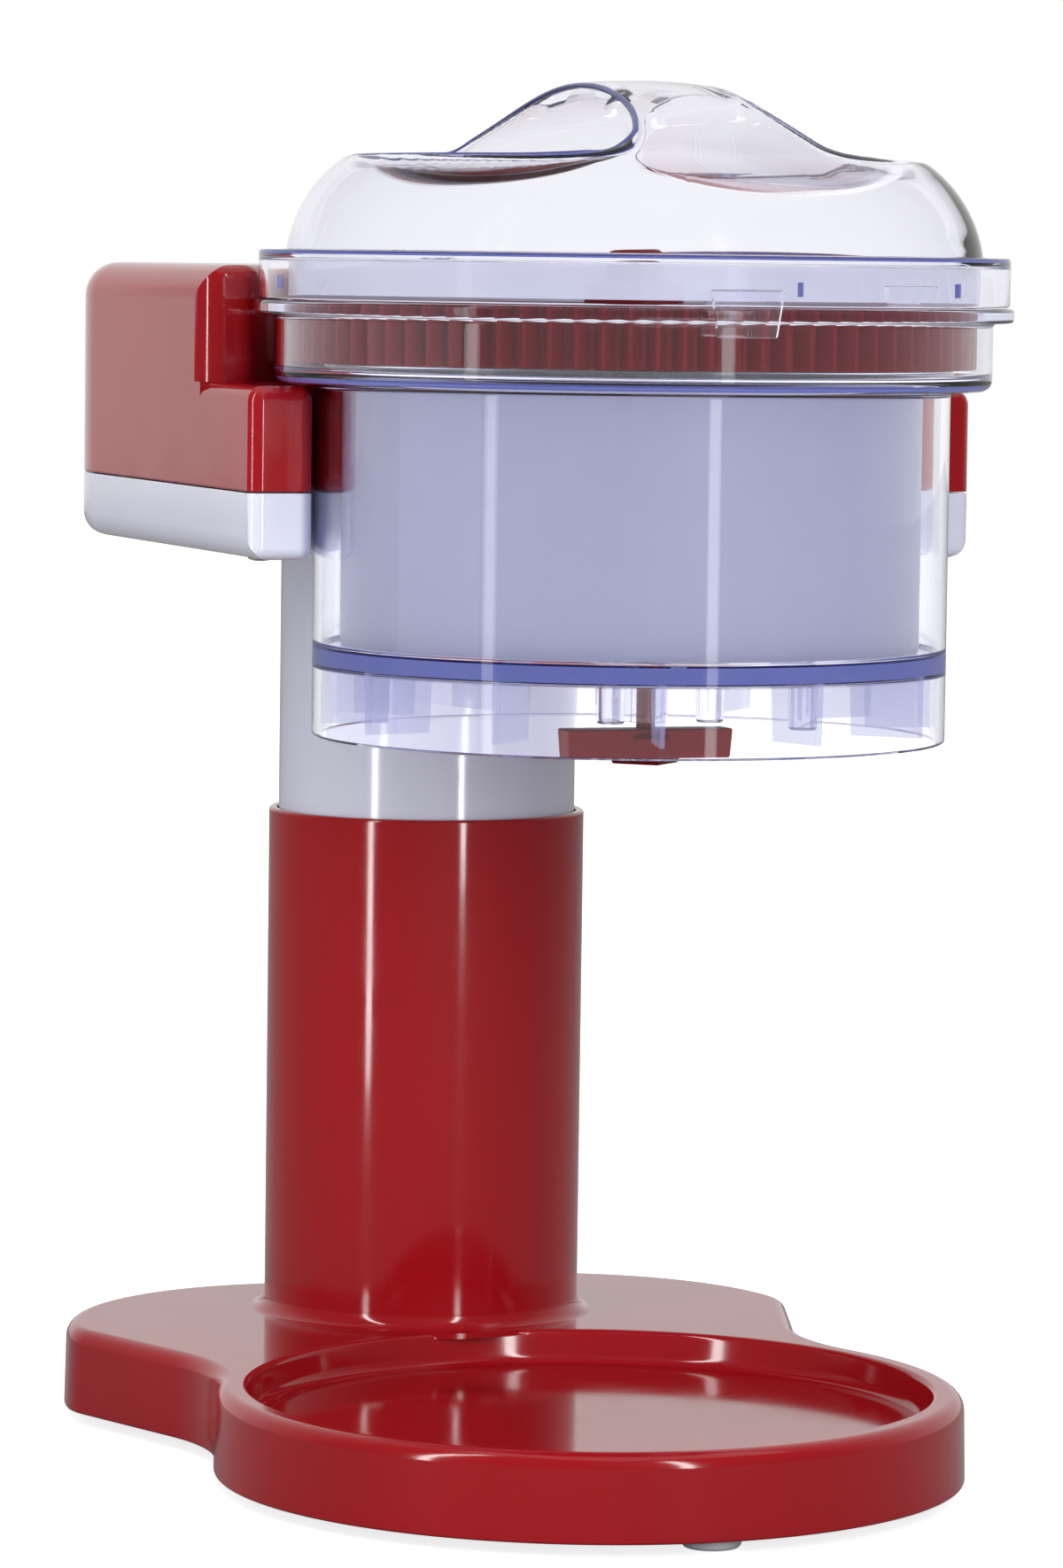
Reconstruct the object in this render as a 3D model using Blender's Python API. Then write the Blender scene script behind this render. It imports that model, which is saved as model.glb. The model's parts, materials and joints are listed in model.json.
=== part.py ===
"""Slushie machine: a clear ice hopper hangs in a two-armed motor head on a telescoping column over a tray base.

Metres, +Z up. The front of the machine faces -Y and the column stands behind the hopper. Shapes are drawn in plan
coordinates measured from the hopper's axis, and every object is placed HOPPER_Y along Y from there, so that the
origin is at the centre of the machine's footprint, on the surface it stands on.
"""

import math

import bmesh
import bpy
from mathutils import Matrix, Vector

# Reach of the machine along Y from the hopper's axis.
FRONT_REACH = 0.1002
REAR_REACH = 0.2098
HOPPER_Y = (FRONT_REACH - REAR_REACH) / 2

CLEARANCE = 0.0003
SCREW_HOLE_RADIUS = 0.0019
SCREW_HEAD_HOLE_RADIUS = 0.0036
SCREW_BOSS_RADIUS = 0.0042
COARSE_STEPS = 16
FINE_STEPS = 28

# Base: a round tray lobe in front and a wider lobe under the column.
BASE_BOTTOM = 0.003
BASE_TOP = 0.0254
BASE_FILLET = 0.004
BASE_WALL = 0.003
TRAY_Y = 0.0202
TRAY_LOBE_RADIUS = 0.0965
TRAY_RADIUS = 0.0878
TRAY_FLOOR = 0.0165
REAR_LOBE_X = 0.034
REAR_LOBE_Y = 0.136
REAR_LOBE_RADIUS = 0.070
HIP_RADIUS = 0.022
HIP_ANGLE = math.radians(8)
FLANK_ANGLE = math.radians(19)
WAIST_RADIUS = 0.060
PLATE_THICKNESS = 0.0024
FOOT_RADIUS = 0.0075
FEET = {
    "foot_front": (0, -0.065),
    "foot_mid_left": (-0.079, 0.032),
    "foot_mid_right": (0.079, 0.032),
    "foot_rear_left": (-0.072, 0.158),
    "foot_rear_right": (0.072, 0.158),
}
BASE_SCREWS = ((-0.076, 0.098), (0.076, 0.098), (-0.058, 0.182), (0.058, 0.182))

# Column: a white tube that slides in a red sleeve.
COLUMN_Y = 0.153
SLEEVE_RADIUS = 0.0431
SLEEVE_BORE = 0.0410
SLEEVE_TOP = 0.1635
SLEEVE_LEDGE = 0.098
TUBE_RADIUS = 0.0405
TUBE_BORE = 0.0376
TUBE_TOP = 0.252

# Head: two arms that cradle the hopper, and a tall gear case behind it.
HEAD_HALF_WIDTH = 0.0974
HEAD_REAR = 0.2058
HEAD_CORNER = 0.058
HEAD_BOTTOM = 0.2384
HEAD_SEAM = 0.2554
HEAD_WALL = 0.0025
ARM_FRONT = 0.0099
ARM_TOP = 0.2817
HEAD_EDGE = 0.004
CRADLE_RADIUS = 0.0813
CASE_FRONT = 0.052
CASE_TOP = 0.3114
CASE_FILLET = 0.009
CASE_RECESS_RADIUS = 0.098
SHELL_FILLET = 0.006
HEAD_SCREWS = ((-0.0893, 0.026), (0.0893, 0.026), (-0.076, 0.150), (0.076, 0.150))
GLAND_SPOT = (0.024, HEAD_REAR, 0.2478)
SWITCH_SPOT = 0.290
SWITCH_HALF_WIDTH = 0.0105
SWITCH_HALF_HEIGHT = 0.0075
ROCKER_PIVOT_DEPTH = 0.002

# Gear train: a ring gear round the ice disc, driven through a pinion and an idler.
GEAR_MODULE = 0.002
PRESSURE_ANGLE = math.radians(25)
BACKLASH = 0.00025
RING_TEETH = 84
PINION_TEETH = 14
IDLER_TEETH = 12
MOTOR_TEETH = 17
RING_BOTTOM = 0.2878
RING_TOP = 0.3029
GEAR_BOTTOM = 0.286
GEAR_TOP = 0.298
PINION_Y = GEAR_MODULE * (RING_TEETH + PINION_TEETH) / 2
IDLER_Y = PINION_Y + GEAR_MODULE * (PINION_TEETH + IDLER_TEETH) / 2
MOTOR_Y = IDLER_Y + GEAR_MODULE * (IDLER_TEETH + MOTOR_TEETH) / 2
POST_RADIUS = 0.004
GEAR_PLATE_TOP = 0.2785
GEAR_PLATE_BOTTOM = 0.2755
PLATE_POSTS = ((-0.045, 0.112), (0.045, 0.112), (-0.045, 0.186), (0.045, 0.186))

# Hopper and what it holds.
FLANGE_RADIUS = 0.0952
FLANGE_TOP = 0.303
FLANGE_THICKNESS = 0.0036
COLLAR_RADIUS = 0.0900
HOPPER_WALL = 0.0022
SHOULDER_BOTTOM = 0.2823
SHOULDER_TOP = 0.2850
BARREL_RADIUS = 0.0797
SKIRT_BOTTOM = 0.1942
FLOOR_BOTTOM = 0.2122
FLOOR_TOP = 0.2168
RIB_COUNT = 12
SLEEVE_CUP_RADIUS = 0.0728
SLEEVE_CUP_WALL = 0.0022
SLEEVE_CUP_TOP = 0.2835
KNOB_SPOT = (0.004, -0.002)
KNOB_STEM_RADIUS = 0.0024
BOSS_RADIUS = 0.0036
BOSSES = ((-0.010, -0.014), (0.017, -0.013), (0.030, -0.042))
BLADE_ANGLE = math.radians(52)
BLADE_RADIUS = 0.036
HUB_RADIUS = 0.0125
HUB_TOP = 0.3088
SHAFT_RADIUS = 0.0045
SHAFT_BORE = 0.0049
SHAFT_KNOB_RADIUS = 0.0072
SHAFT_KNOB_TOP = 0.3167
PRESSER_TOP = 0.2580
PRESSER_BOTTOM = 0.2540
PRESSER_RADIUS = 0.066

# Lid: a dome with a scooped pocket on each side of a front-to-back handle ridge.
LID_RADIUS = 0.0941
LID_BOTTOM = 0.3033
LID_RIM_TOP = 0.3155
LID_WALL = 0.002
CROWN_TOP = 0.3586
CROWN_RADIUS = 0.1444
SHOULDER_START = 0.070
SHOULDER_ARC = 0.034
SHOULDER_END = 0.0872
RIDGE_HALF_WIDTH = 0.0155
POCKET_REACH = 0.064
POCKET_FLOOR = 0.3311
POCKET_RIM = 0.3399
POCKET_RIM_RADIUS = 0.0705
TAB_TURN = math.radians(-5.2)


def clear_scene():
    for obj in list(bpy.data.objects):
        bpy.data.objects.remove(obj, do_unlink=True)


def make_material(name, colour, roughness, metallic=0.0, alpha=1.0):
    material = bpy.data.materials.new(name)
    material.use_nodes = True
    shader = material.node_tree.nodes["Principled BSDF"]
    shader.inputs["Base Color"].default_value = (*colour, 1)
    shader.inputs["Roughness"].default_value = roughness
    shader.inputs["Metallic"].default_value = metallic
    shader.inputs["Alpha"].default_value = alpha
    return material


# Building blocks


def object_of(bm, name, material, at=(0, 0), z=0):
    """A smooth-shaded object of this mesh, with its origin at a plan position measured from the hopper's axis."""
    bmesh.ops.remove_doubles(bm, verts=bm.verts, dist=1e-7)
    bmesh.ops.recalc_face_normals(bm, faces=bm.faces)
    mesh = bpy.data.meshes.new(name)
    bm.to_mesh(mesh)
    bm.free()
    if material:
        mesh.materials.append(material)
    mesh.shade_smooth()
    mesh.set_sharp_from_angle(angle=math.radians(35))
    obj = bpy.data.objects.new(name, mesh)
    obj.location = (at[0], HOPPER_Y + at[1], z)
    bpy.context.scene.collection.objects.link(obj)
    return obj


def add_turned(bm, profile, steps, centre=(0, 0)):
    """Adds a solid of revolution: profile is a closed list of (radius, height)."""
    turns = [2 * math.pi * i / steps for i in range(steps)]
    rings = []
    for radius, height in profile:
        angles = turns if radius > 1e-6 else turns[:1]
        rings.append(
            [
                bm.verts.new((centre[0] + radius * math.cos(a), centre[1] + radius * math.sin(a), height))
                for a in angles
            ]
        )
    for ring, following in zip(rings, rings[1:] + rings[:1]):
        for i in range(steps):
            corners = [ring[i % len(ring)], ring[(i + 1) % len(ring)]]
            corners += [following[(i + 1) % len(following)], following[i % len(following)]]
            corners = list(dict.fromkeys(corners))
            if len(corners) > 2:
                bm.faces.new(corners)


def turned(name, profile, material=None, steps=FINE_STEPS, at=(0, 0)):
    bm = bmesh.new()
    add_turned(bm, profile, steps)
    return object_of(bm, name, material, at)


def add_lofted(bm, levels):
    """Adds a solid through outlines with equal numbers of points: levels is a list of (points, height)."""
    rings = [[bm.verts.new((x, y, height)) for x, y in points] for points, height in levels]
    for ring, following in zip(rings, rings[1:]):
        for i in range(len(ring)):
            j = (i + 1) % len(ring)
            bm.faces.new((ring[i], ring[j], following[j], following[i]))
    bm.faces.new(rings[0][::-1])
    bm.faces.new(rings[-1])


def lofted(name, levels, material=None, at=(0, 0)):
    bm = bmesh.new()
    add_lofted(bm, levels)
    return object_of(bm, name, material, at)


def rectangle(x0, y0, x1, y1):
    return [(x0, y0), (x1, y0), (x1, y1), (x0, y1)]


def pipe_profile(outer, inner, bottom, top):
    return [(outer, bottom), (outer, top), (inner, top), (inner, bottom)]


def rod_profile(radius, bottom, top):
    return [(0, bottom), (radius, bottom), (radius, top), (0, top)]


def stepped_hole(bottom, step, top):
    """A hole for a screw, with a wider part below for its head."""
    wide, narrow = SCREW_HEAD_HOLE_RADIUS, SCREW_HOLE_RADIUS
    return [(0, bottom), (wide, bottom), (wide, step), (narrow, step), (narrow, top), (0, top)]


def combine(target, other, operation):
    """Adds a Boolean to target and leaves the other shape as a hidden guide."""
    other.hide_render = True
    other.display_type = "WIRE"
    modifier = target.modifiers.new(operation.title(), "BOOLEAN")
    modifier.operation = operation
    modifier.object = other


def cut(target, *cutters):
    for cutter in cutters:
        combine(target, cutter, "DIFFERENCE")


def join(target, *others):
    for other in others:
        combine(target, other, "UNION")


def arc_points(centre, radius, start, end, count):
    angles = [start + (end - start) * i / (count - 1) for i in range(count)]
    return [(centre[0] + radius * math.cos(a), centre[1] + radius * math.sin(a)) for a in angles]


def outline_of(arcs, inset=0.0):
    """Points round an outline of (centre, radius, start, end, count) arcs, drawn in by inset.

    An arc that runs clockwise is hollow, so its radius grows. One that runs the other way shrinks to a corner,
    which then moves in along the line that halves it.
    """
    smallest = 0.0004
    points = []
    for centre, radius, start, end, count in arcs:
        if end < start:
            points += arc_points(centre, radius + inset, start, end, count)
            continue
        shrunk = max(radius - inset, smallest)
        shift = (shrunk - radius + inset) / math.cos((end - start) / 2)
        middle = (start + end) / 2
        moved = (centre[0] - shift * math.cos(middle), centre[1] - shift * math.sin(middle))
        points += arc_points(moved, shrunk, start, end, count)
    return points


def both_sides(arcs):
    """The arcs of the right half, from front to rear, followed by those of the left half."""
    mirrored = [
        ((-centre[0], centre[1]), radius, math.pi - end, math.pi - start, count)
        for centre, radius, start, end, count in reversed(arcs)
    ]
    return arcs + mirrored


def filleted_levels(arcs, bottom, top, fillet, at_top=True, steps=3, inset=0.0):
    """Levels of an upright wall whose top or bottom edge is rounded."""
    rounded = []
    for i in range(steps + 1):
        angle = math.pi / 2 * i / steps
        drawn_in = inset + fillet * (1 - math.cos(angle))
        rounded.append((outline_of(arcs, drawn_in), fillet * (1 - math.sin(angle))))
    if at_top:
        return [(outline_of(arcs, inset), bottom)] + [(points, top - depth) for points, depth in rounded]
    return [(points, bottom + depth) for points, depth in reversed(rounded)] + [(outline_of(arcs, inset), top)]


# Base


def base_arcs():
    """The base's plan: a tray lobe, a hollow waist, a flank that widens to the hip, and a rear lobe."""
    hip = Vector((REAR_LOBE_X, REAR_LOBE_Y)) + (REAR_LOBE_RADIUS - HIP_RADIUS) * Vector(
        (math.cos(HIP_ANGLE), math.sin(HIP_ANGLE))
    )
    normal = Vector((math.cos(FLANK_ANGLE), -math.sin(FLANK_ANGLE)))
    along = Vector((-math.sin(FLANK_ANGLE), -math.cos(FLANK_ANGLE)))
    tray = Vector((0, TRAY_Y))
    foot = hip + (HIP_RADIUS + WAIST_RADIUS) * normal
    # The waist's centre lies on a line beside the flank, at the two radii's sum from the tray's centre.
    offset = foot - tray
    reach = TRAY_LOBE_RADIUS + WAIST_RADIUS
    travel = -offset.dot(along) - math.sqrt(offset.dot(along) ** 2 - offset.length_squared + reach**2)
    waist = foot + travel * along
    to_tray = math.atan2(tray.y - waist.y, tray.x - waist.x)
    return both_sides(
        [
            (tuple(tray), TRAY_LOBE_RADIUS, -math.pi / 2, to_tray + math.pi, 14),
            (tuple(waist), WAIST_RADIUS, to_tray + 2 * math.pi, math.pi - FLANK_ANGLE, 4),
            (tuple(hip), HIP_RADIUS, -FLANK_ANGLE, HIP_ANGLE, 3),
            ((REAR_LOBE_X, REAR_LOBE_Y), REAR_LOBE_RADIUS, HIP_ANGLE, math.pi / 2, 7),
        ]
    )


def make_base_housing(material):
    levels = filleted_levels(base_arcs(), BASE_BOTTOM, BASE_TOP, BASE_FILLET)
    housing = lofted("base_housing", levels, material)
    ceiling = BASE_TOP - BASE_WALL
    cavity = lofted(
        "base_cavity",
        [(outline_of(base_arcs(), BASE_WALL), 0), (outline_of(base_arcs(), BASE_WALL), ceiling)],
    )
    tray_pan = turned(
        "tray_pan",
        rod_profile(TRAY_RADIUS + BASE_WALL, TRAY_FLOOR - BASE_WALL, BASE_TOP + 0.01),
        at=(0, TRAY_Y),
    )
    bosses = bmesh.new()
    holes = bmesh.new()
    for spot in BASE_SCREWS:
        add_turned(bosses, rod_profile(SCREW_BOSS_RADIUS, BASE_BOTTOM + 0.0034, BASE_TOP), COARSE_STEPS // 2, spot)
        add_turned(holes, rod_profile(SCREW_HOLE_RADIUS, 0, 0.016), COARSE_STEPS // 2, spot)
    cut(cavity, tray_pan, object_of(bosses, "base_bosses", None))
    recess = turned(
        "tray_recess",
        [
            (0, TRAY_FLOOR),
            (TRAY_RADIUS - 0.003, TRAY_FLOOR),
            (TRAY_RADIUS - 0.0012, TRAY_FLOOR + 0.0010),
            (TRAY_RADIUS - 0.0006, TRAY_FLOOR + 0.0030),
            (TRAY_RADIUS, BASE_TOP - 0.0012),
            (TRAY_RADIUS + 0.0012, BASE_TOP + 0.0001),
            (TRAY_RADIUS + 0.0012, BASE_TOP + 0.01),
            (0, BASE_TOP + 0.01),
        ],
        steps=32,
        at=(0, TRAY_Y),
    )
    deck_hole = turned("deck_hole", rod_profile(SLEEVE_BORE + 0.001, 0, BASE_TOP + 0.01), at=(0, COLUMN_Y))
    flare = [
        (SLEEVE_RADIUS + 0.0035 * (1 - math.sin(a)), BASE_TOP + 0.0045 * (1 - math.cos(a)))
        for a in (0, 0.5, 1.0, math.pi / 2)
    ]
    sleeve = turned(
        "column_sleeve",
        [(SLEEVE_RADIUS + 0.0035, BASE_TOP - 0.0015)]
        + flare
        + [
            (SLEEVE_RADIUS, SLEEVE_TOP - 0.0006),
            (SLEEVE_RADIUS - 0.0005, SLEEVE_TOP),
            (SLEEVE_BORE, SLEEVE_TOP),
            (SLEEVE_BORE, SLEEVE_LEDGE),
            (SLEEVE_BORE - 0.004, SLEEVE_LEDGE),
            (SLEEVE_BORE - 0.004, SLEEVE_LEDGE - 0.002),
            (SLEEVE_BORE, SLEEVE_LEDGE - 0.006),
            (SLEEVE_BORE, BASE_TOP - 0.0015),
        ],
        at=(0, COLUMN_Y),
    )
    cut(housing, cavity, recess, deck_hole, object_of(holes, "base_screw_holes", None))
    join(housing, sleeve)


def make_base_plate(material):
    inset = BASE_WALL + CLEARANCE
    bottom = BASE_BOTTOM + 0.0003
    top = bottom + PLATE_THICKNESS
    outline = outline_of(base_arcs(), inset)
    plate = lofted("base_plate", [(outline, bottom), (outline, top)], material)
    holes = bmesh.new()
    for spot in BASE_SCREWS:
        profile = stepped_hole(0, bottom + 0.0014, 0.01)
        add_turned(holes, profile, COARSE_STEPS // 2, spot)
    for spot in FEET.values():
        add_turned(holes, rod_profile(0.0033, 0, 0.01), COARSE_STEPS // 2, spot)
    cut(plate, object_of(holes, "plate_holes", None))


def make_feet(material):
    plate_bottom = BASE_BOTTOM + 0.0003
    for name, spot in FEET.items():
        profile = [
            (0, 0),
            (FOOT_RADIUS - 0.0008, 0),
            (FOOT_RADIUS, 0.0008),
            (FOOT_RADIUS, plate_bottom - CLEARANCE),
            (0.003, plate_bottom - CLEARANCE),
            (0.003, plate_bottom + PLATE_THICKNESS),
            (0, plate_bottom + PLATE_THICKNESS),
        ]
        turned(name, profile, material, COARSE_STEPS, spot)


def make_screw(name, spot, head_bottom, length, material):
    """A pan-head screw driven in from below, with a cross recess."""
    head_radius = 0.0032
    head_height = 0.0018
    profile = [
        (0, head_bottom),
        (head_radius - 0.0006, head_bottom),
        (head_radius, head_bottom + 0.0006),
        (head_radius, head_bottom + head_height),
        (0.0016, head_bottom + head_height),
        (0.0016, head_bottom + length - 0.001),
        (0.0008, head_bottom + length),
        (0, head_bottom + length),
    ]
    return turned(name, profile, material, COARSE_STEPS // 2, spot)


def make_base(red, dark, rubber, steel):
    make_base_housing(red)
    make_base_plate(dark)
    make_feet(rubber)
    for index, spot in enumerate(BASE_SCREWS, 1):
        head_bottom = BASE_BOTTOM + 0.0003 + 0.0014 - CLEARANCE - 0.0018 + 0.0003
        make_screw(f"base_screw_{index}", spot, head_bottom, 0.0115, steel)


# Head


def block_arcs():
    """The plan of the head before it is hollowed in front: straight sides and rounded rear corners."""
    corner = (HEAD_HALF_WIDTH - HEAD_CORNER, HEAD_REAR - HEAD_CORNER)
    return both_sides(
        [
            ((HEAD_HALF_WIDTH - 0.001, -0.030), 0.001, -math.pi / 2, 0, 2),
            (corner, HEAD_CORNER, 0, math.pi / 2, 7),
        ]
    )


def front_cutter_arcs(front, hollow_radius):
    """The plan of what is cut away in front: up to a flat face, and round the hopper's axis behind that.

    Its two small hollow arcs round the upright edges at both ends of the flat face.
    """
    edge = HEAD_EDGE
    beyond = 0.0004
    inner_y = front + edge
    inner_x = math.sqrt((hollow_radius + edge) ** 2 - inner_y**2)
    lean = math.atan2(inner_y, inner_x)
    return both_sides(
        [
            ((0.140, -0.140), 0.001, -math.pi / 2, 0, 2),
            ((0.140, inner_y - 0.001), 0.001, 0, math.pi / 2, 2),
            ((HEAD_HALF_WIDTH - edge + beyond, inner_y), edge, 0, -math.pi / 2, 3),
            ((inner_x, inner_y), edge, -math.pi / 2, lean - math.pi, 3),
            ((0, 0), hollow_radius, lean, math.pi / 2, 8),
        ]
    )


def front_cutter(name, front, hollow_radius, bottom, top, grown=0.0, flare=0.0):
    """Cuts the front away between two heights, and widens by flare at its top to round the edge there."""
    arcs = front_cutter_arcs(front, hollow_radius)
    levels = [(outline_of(arcs, -grown), bottom - grown)]
    for angle in (0, 0.8, math.pi / 2) if flare else ():
        drawn_out = grown + flare * (1 - math.cos(angle))
        levels.append((outline_of(arcs, -drawn_out), top - flare * (1 - math.sin(angle))))
    levels.append((levels[-1][0], top + 0.01))
    return lofted(name, levels)


def head_shape(name, material, bottom, top, fillet, at_top, inset=0.0):
    """The head's block between two heights, rounded at its top or its bottom, with the cradle cut away."""
    steps = 2 if inset else 4
    block = lofted(name, filleted_levels(block_arcs(), bottom, top, fillet, at_top, steps, inset), material)
    cut(block, front_cutter(f"{name}_cradle", ARM_FRONT, CRADLE_RADIUS, bottom - 0.02, top + 0.02, inset))
    return block


def make_lower_shell(material):
    shell = head_shape("head_lower_shell", material, HEAD_BOTTOM, HEAD_SEAM - CLEARANCE, SHELL_FILLET, False)
    cavity = head_shape(
        "shell_cavity", None, HEAD_BOTTOM + HEAD_WALL, HEAD_SEAM + 0.01, SHELL_FILLET - HEAD_WALL, False, HEAD_WALL
    )
    holes = bmesh.new()
    add_turned(holes, rod_profile(TUBE_RADIUS + CLEARANCE, HEAD_BOTTOM - 0.01, HEAD_SEAM), FINE_STEPS, (0, COLUMN_Y))
    for spot in HEAD_SCREWS:
        step = HEAD_BOTTOM + 0.0012
        profile = stepped_hole(0.23, step, 0.25)
        add_turned(holes, profile, COARSE_STEPS // 2, spot)
    posts = bmesh.new()
    for spot in PLATE_POSTS:
        profile = [
            (0.0050, HEAD_BOTTOM + 0.001),
            (0.0044, GEAR_PLATE_BOTTOM - CLEARANCE),
            (0.0019, GEAR_PLATE_BOTTOM - CLEARANCE),
            (0.0019, GEAR_PLATE_BOTTOM - 0.010),
            (0, GEAR_PLATE_BOTTOM - 0.010),
            (0, HEAD_BOTTOM + 0.001),
        ]
        add_turned(posts, profile, COARSE_STEPS // 2, spot)
    gland_hole = bmesh.new()
    add_turned(gland_hole, rod_profile(0.0043, -0.02, 0.02), COARSE_STEPS)
    gland_cutter = object_of(gland_hole, "gland_hole", None, at=GLAND_SPOT[:2], z=GLAND_SPOT[2])
    gland_cutter.rotation_euler = (math.pi / 2, 0, 0)
    cut(shell, cavity, object_of(holes, "shell_holes", None), gland_cutter)
    join(shell, object_of(posts, "plate_posts", None))


def make_upper_cover(material):
    """The gear case and the tops of both arms: one shell, stepped down in front."""
    step = (CASE_FRONT, CASE_RECESS_RADIUS, ARM_TOP, CASE_TOP)
    cover = head_shape("head_upper_cover", material, HEAD_SEAM, CASE_TOP, CASE_FILLET, True)
    cut(cover, front_cutter("case_step", *step, flare=0.0036))
    cavity = head_shape(
        "cover_cavity", None, HEAD_SEAM - 0.01, CASE_TOP - HEAD_WALL, CASE_FILLET - HEAD_WALL, True, HEAD_WALL
    )
    cut(cavity, front_cutter("case_step_core", *step, grown=HEAD_WALL))
    bosses = bmesh.new()
    screw_holes = bmesh.new()
    for spot in HEAD_SCREWS:
        add_turned(bosses, rod_profile(SCREW_BOSS_RADIUS, HEAD_SEAM + 0.001, CASE_TOP), COARSE_STEPS // 2, spot)
        hole = rod_profile(SCREW_HOLE_RADIUS, HEAD_SEAM - 0.01, HEAD_SEAM + 0.013)
        add_turned(screw_holes, hole, COARSE_STEPS // 2, spot)
    cut(cavity, object_of(bosses, "cover_bosses", None))
    window_plan = rectangle(-0.0185, PINION_Y - 0.018, 0.0185, PINION_Y + 0.010)
    window = lofted("pinion_window", [(window_plan, GEAR_BOTTOM - 0.0015), (window_plan, GEAR_TOP + 0.0030)])
    post_hole = turned(
        "pinion_post_hole", rod_profile(POST_RADIUS + 0.001, 0.27, 0.29), None, COARSE_STEPS, (0, PINION_Y)
    )
    hole = rectangle(-SWITCH_HALF_WIDTH, HEAD_REAR - 0.012, SWITCH_HALF_WIDTH, HEAD_REAR + 0.01)
    switch_hole = lofted(
        "switch_hole",
        [(hole, SWITCH_SPOT - SWITCH_HALF_HEIGHT), (hole, SWITCH_SPOT + SWITCH_HALF_HEIGHT)],
    )
    cut(cover, cavity, object_of(screw_holes, "cover_screw_holes", None), window, post_hole, switch_hole)


# Rear fittings


def make_gland(material):
    """A grommet round the mains inlet, with a bore for the lead."""
    profile = [
        (0.0022, -0.004),
        (0.0040, -0.004),
        (0.0040, CLEARANCE),
        (0.0064, CLEARANCE),
        (0.0064, 0.0020),
        (0.0050, REAR_REACH - HEAD_REAR),
        (0.0022, REAR_REACH - HEAD_REAR),
    ]
    gland = turned("cord_gland", profile, material, COARSE_STEPS, GLAND_SPOT[:2])
    gland.location.z = GLAND_SPOT[2]
    gland.rotation_euler = (-math.pi / 2, 0, 0)


def make_switch(bezel_material, rocker_material):
    """A rocker in a rectangular bezel on the rear of the gear case."""
    flange = rectangle(-0.0130, HEAD_REAR + CLEARANCE, 0.0130, HEAD_REAR + 0.0018)
    body = rectangle(
        -SWITCH_HALF_WIDTH + CLEARANCE,
        HEAD_REAR - 0.010,
        SWITCH_HALF_WIDTH - CLEARANCE,
        HEAD_REAR + 0.0010,
    )
    levels = [(flange, SWITCH_SPOT - 0.0100), (flange, SWITCH_SPOT + 0.0100)]
    bezel = lofted("switch_bezel", levels, bezel_material)
    inner_height = SWITCH_HALF_HEIGHT - CLEARANCE
    join(bezel, lofted("bezel_body", [(body, SWITCH_SPOT - inner_height), (body, SWITCH_SPOT + inner_height)]))
    well = rectangle(-0.0085, HEAD_REAR - 0.0088, 0.0085, HEAD_REAR + 0.01)
    cut(bezel, lofted("bezel_well", [(well, SWITCH_SPOT - 0.0060), (well, SWITCH_SPOT + 0.0060)]))
    # The rocker turns about X on its pivot, and its face is a shallow V.
    half_width = 0.0081
    bm = bmesh.new()
    side = [(-0.0052, 0.0022), (0, 0.0030), (0.0052, 0.0034), (0.0048, -0.0018), (0, -0.0042), (-0.0048, -0.0018)]
    rings = [[bm.verts.new((x, y, z)) for z, y in side] for x in (-half_width, half_width)]
    for i in range(len(side)):
        j = (i + 1) % len(side)
        bm.faces.new((rings[0][i], rings[0][j], rings[1][j], rings[1][i]))
    bm.faces.new(rings[0])
    bm.faces.new(rings[1])
    object_of(bm, "switch_rocker", rocker_material, at=(0, HEAD_REAR - ROCKER_PIVOT_DEPTH), z=SWITCH_SPOT)


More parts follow.
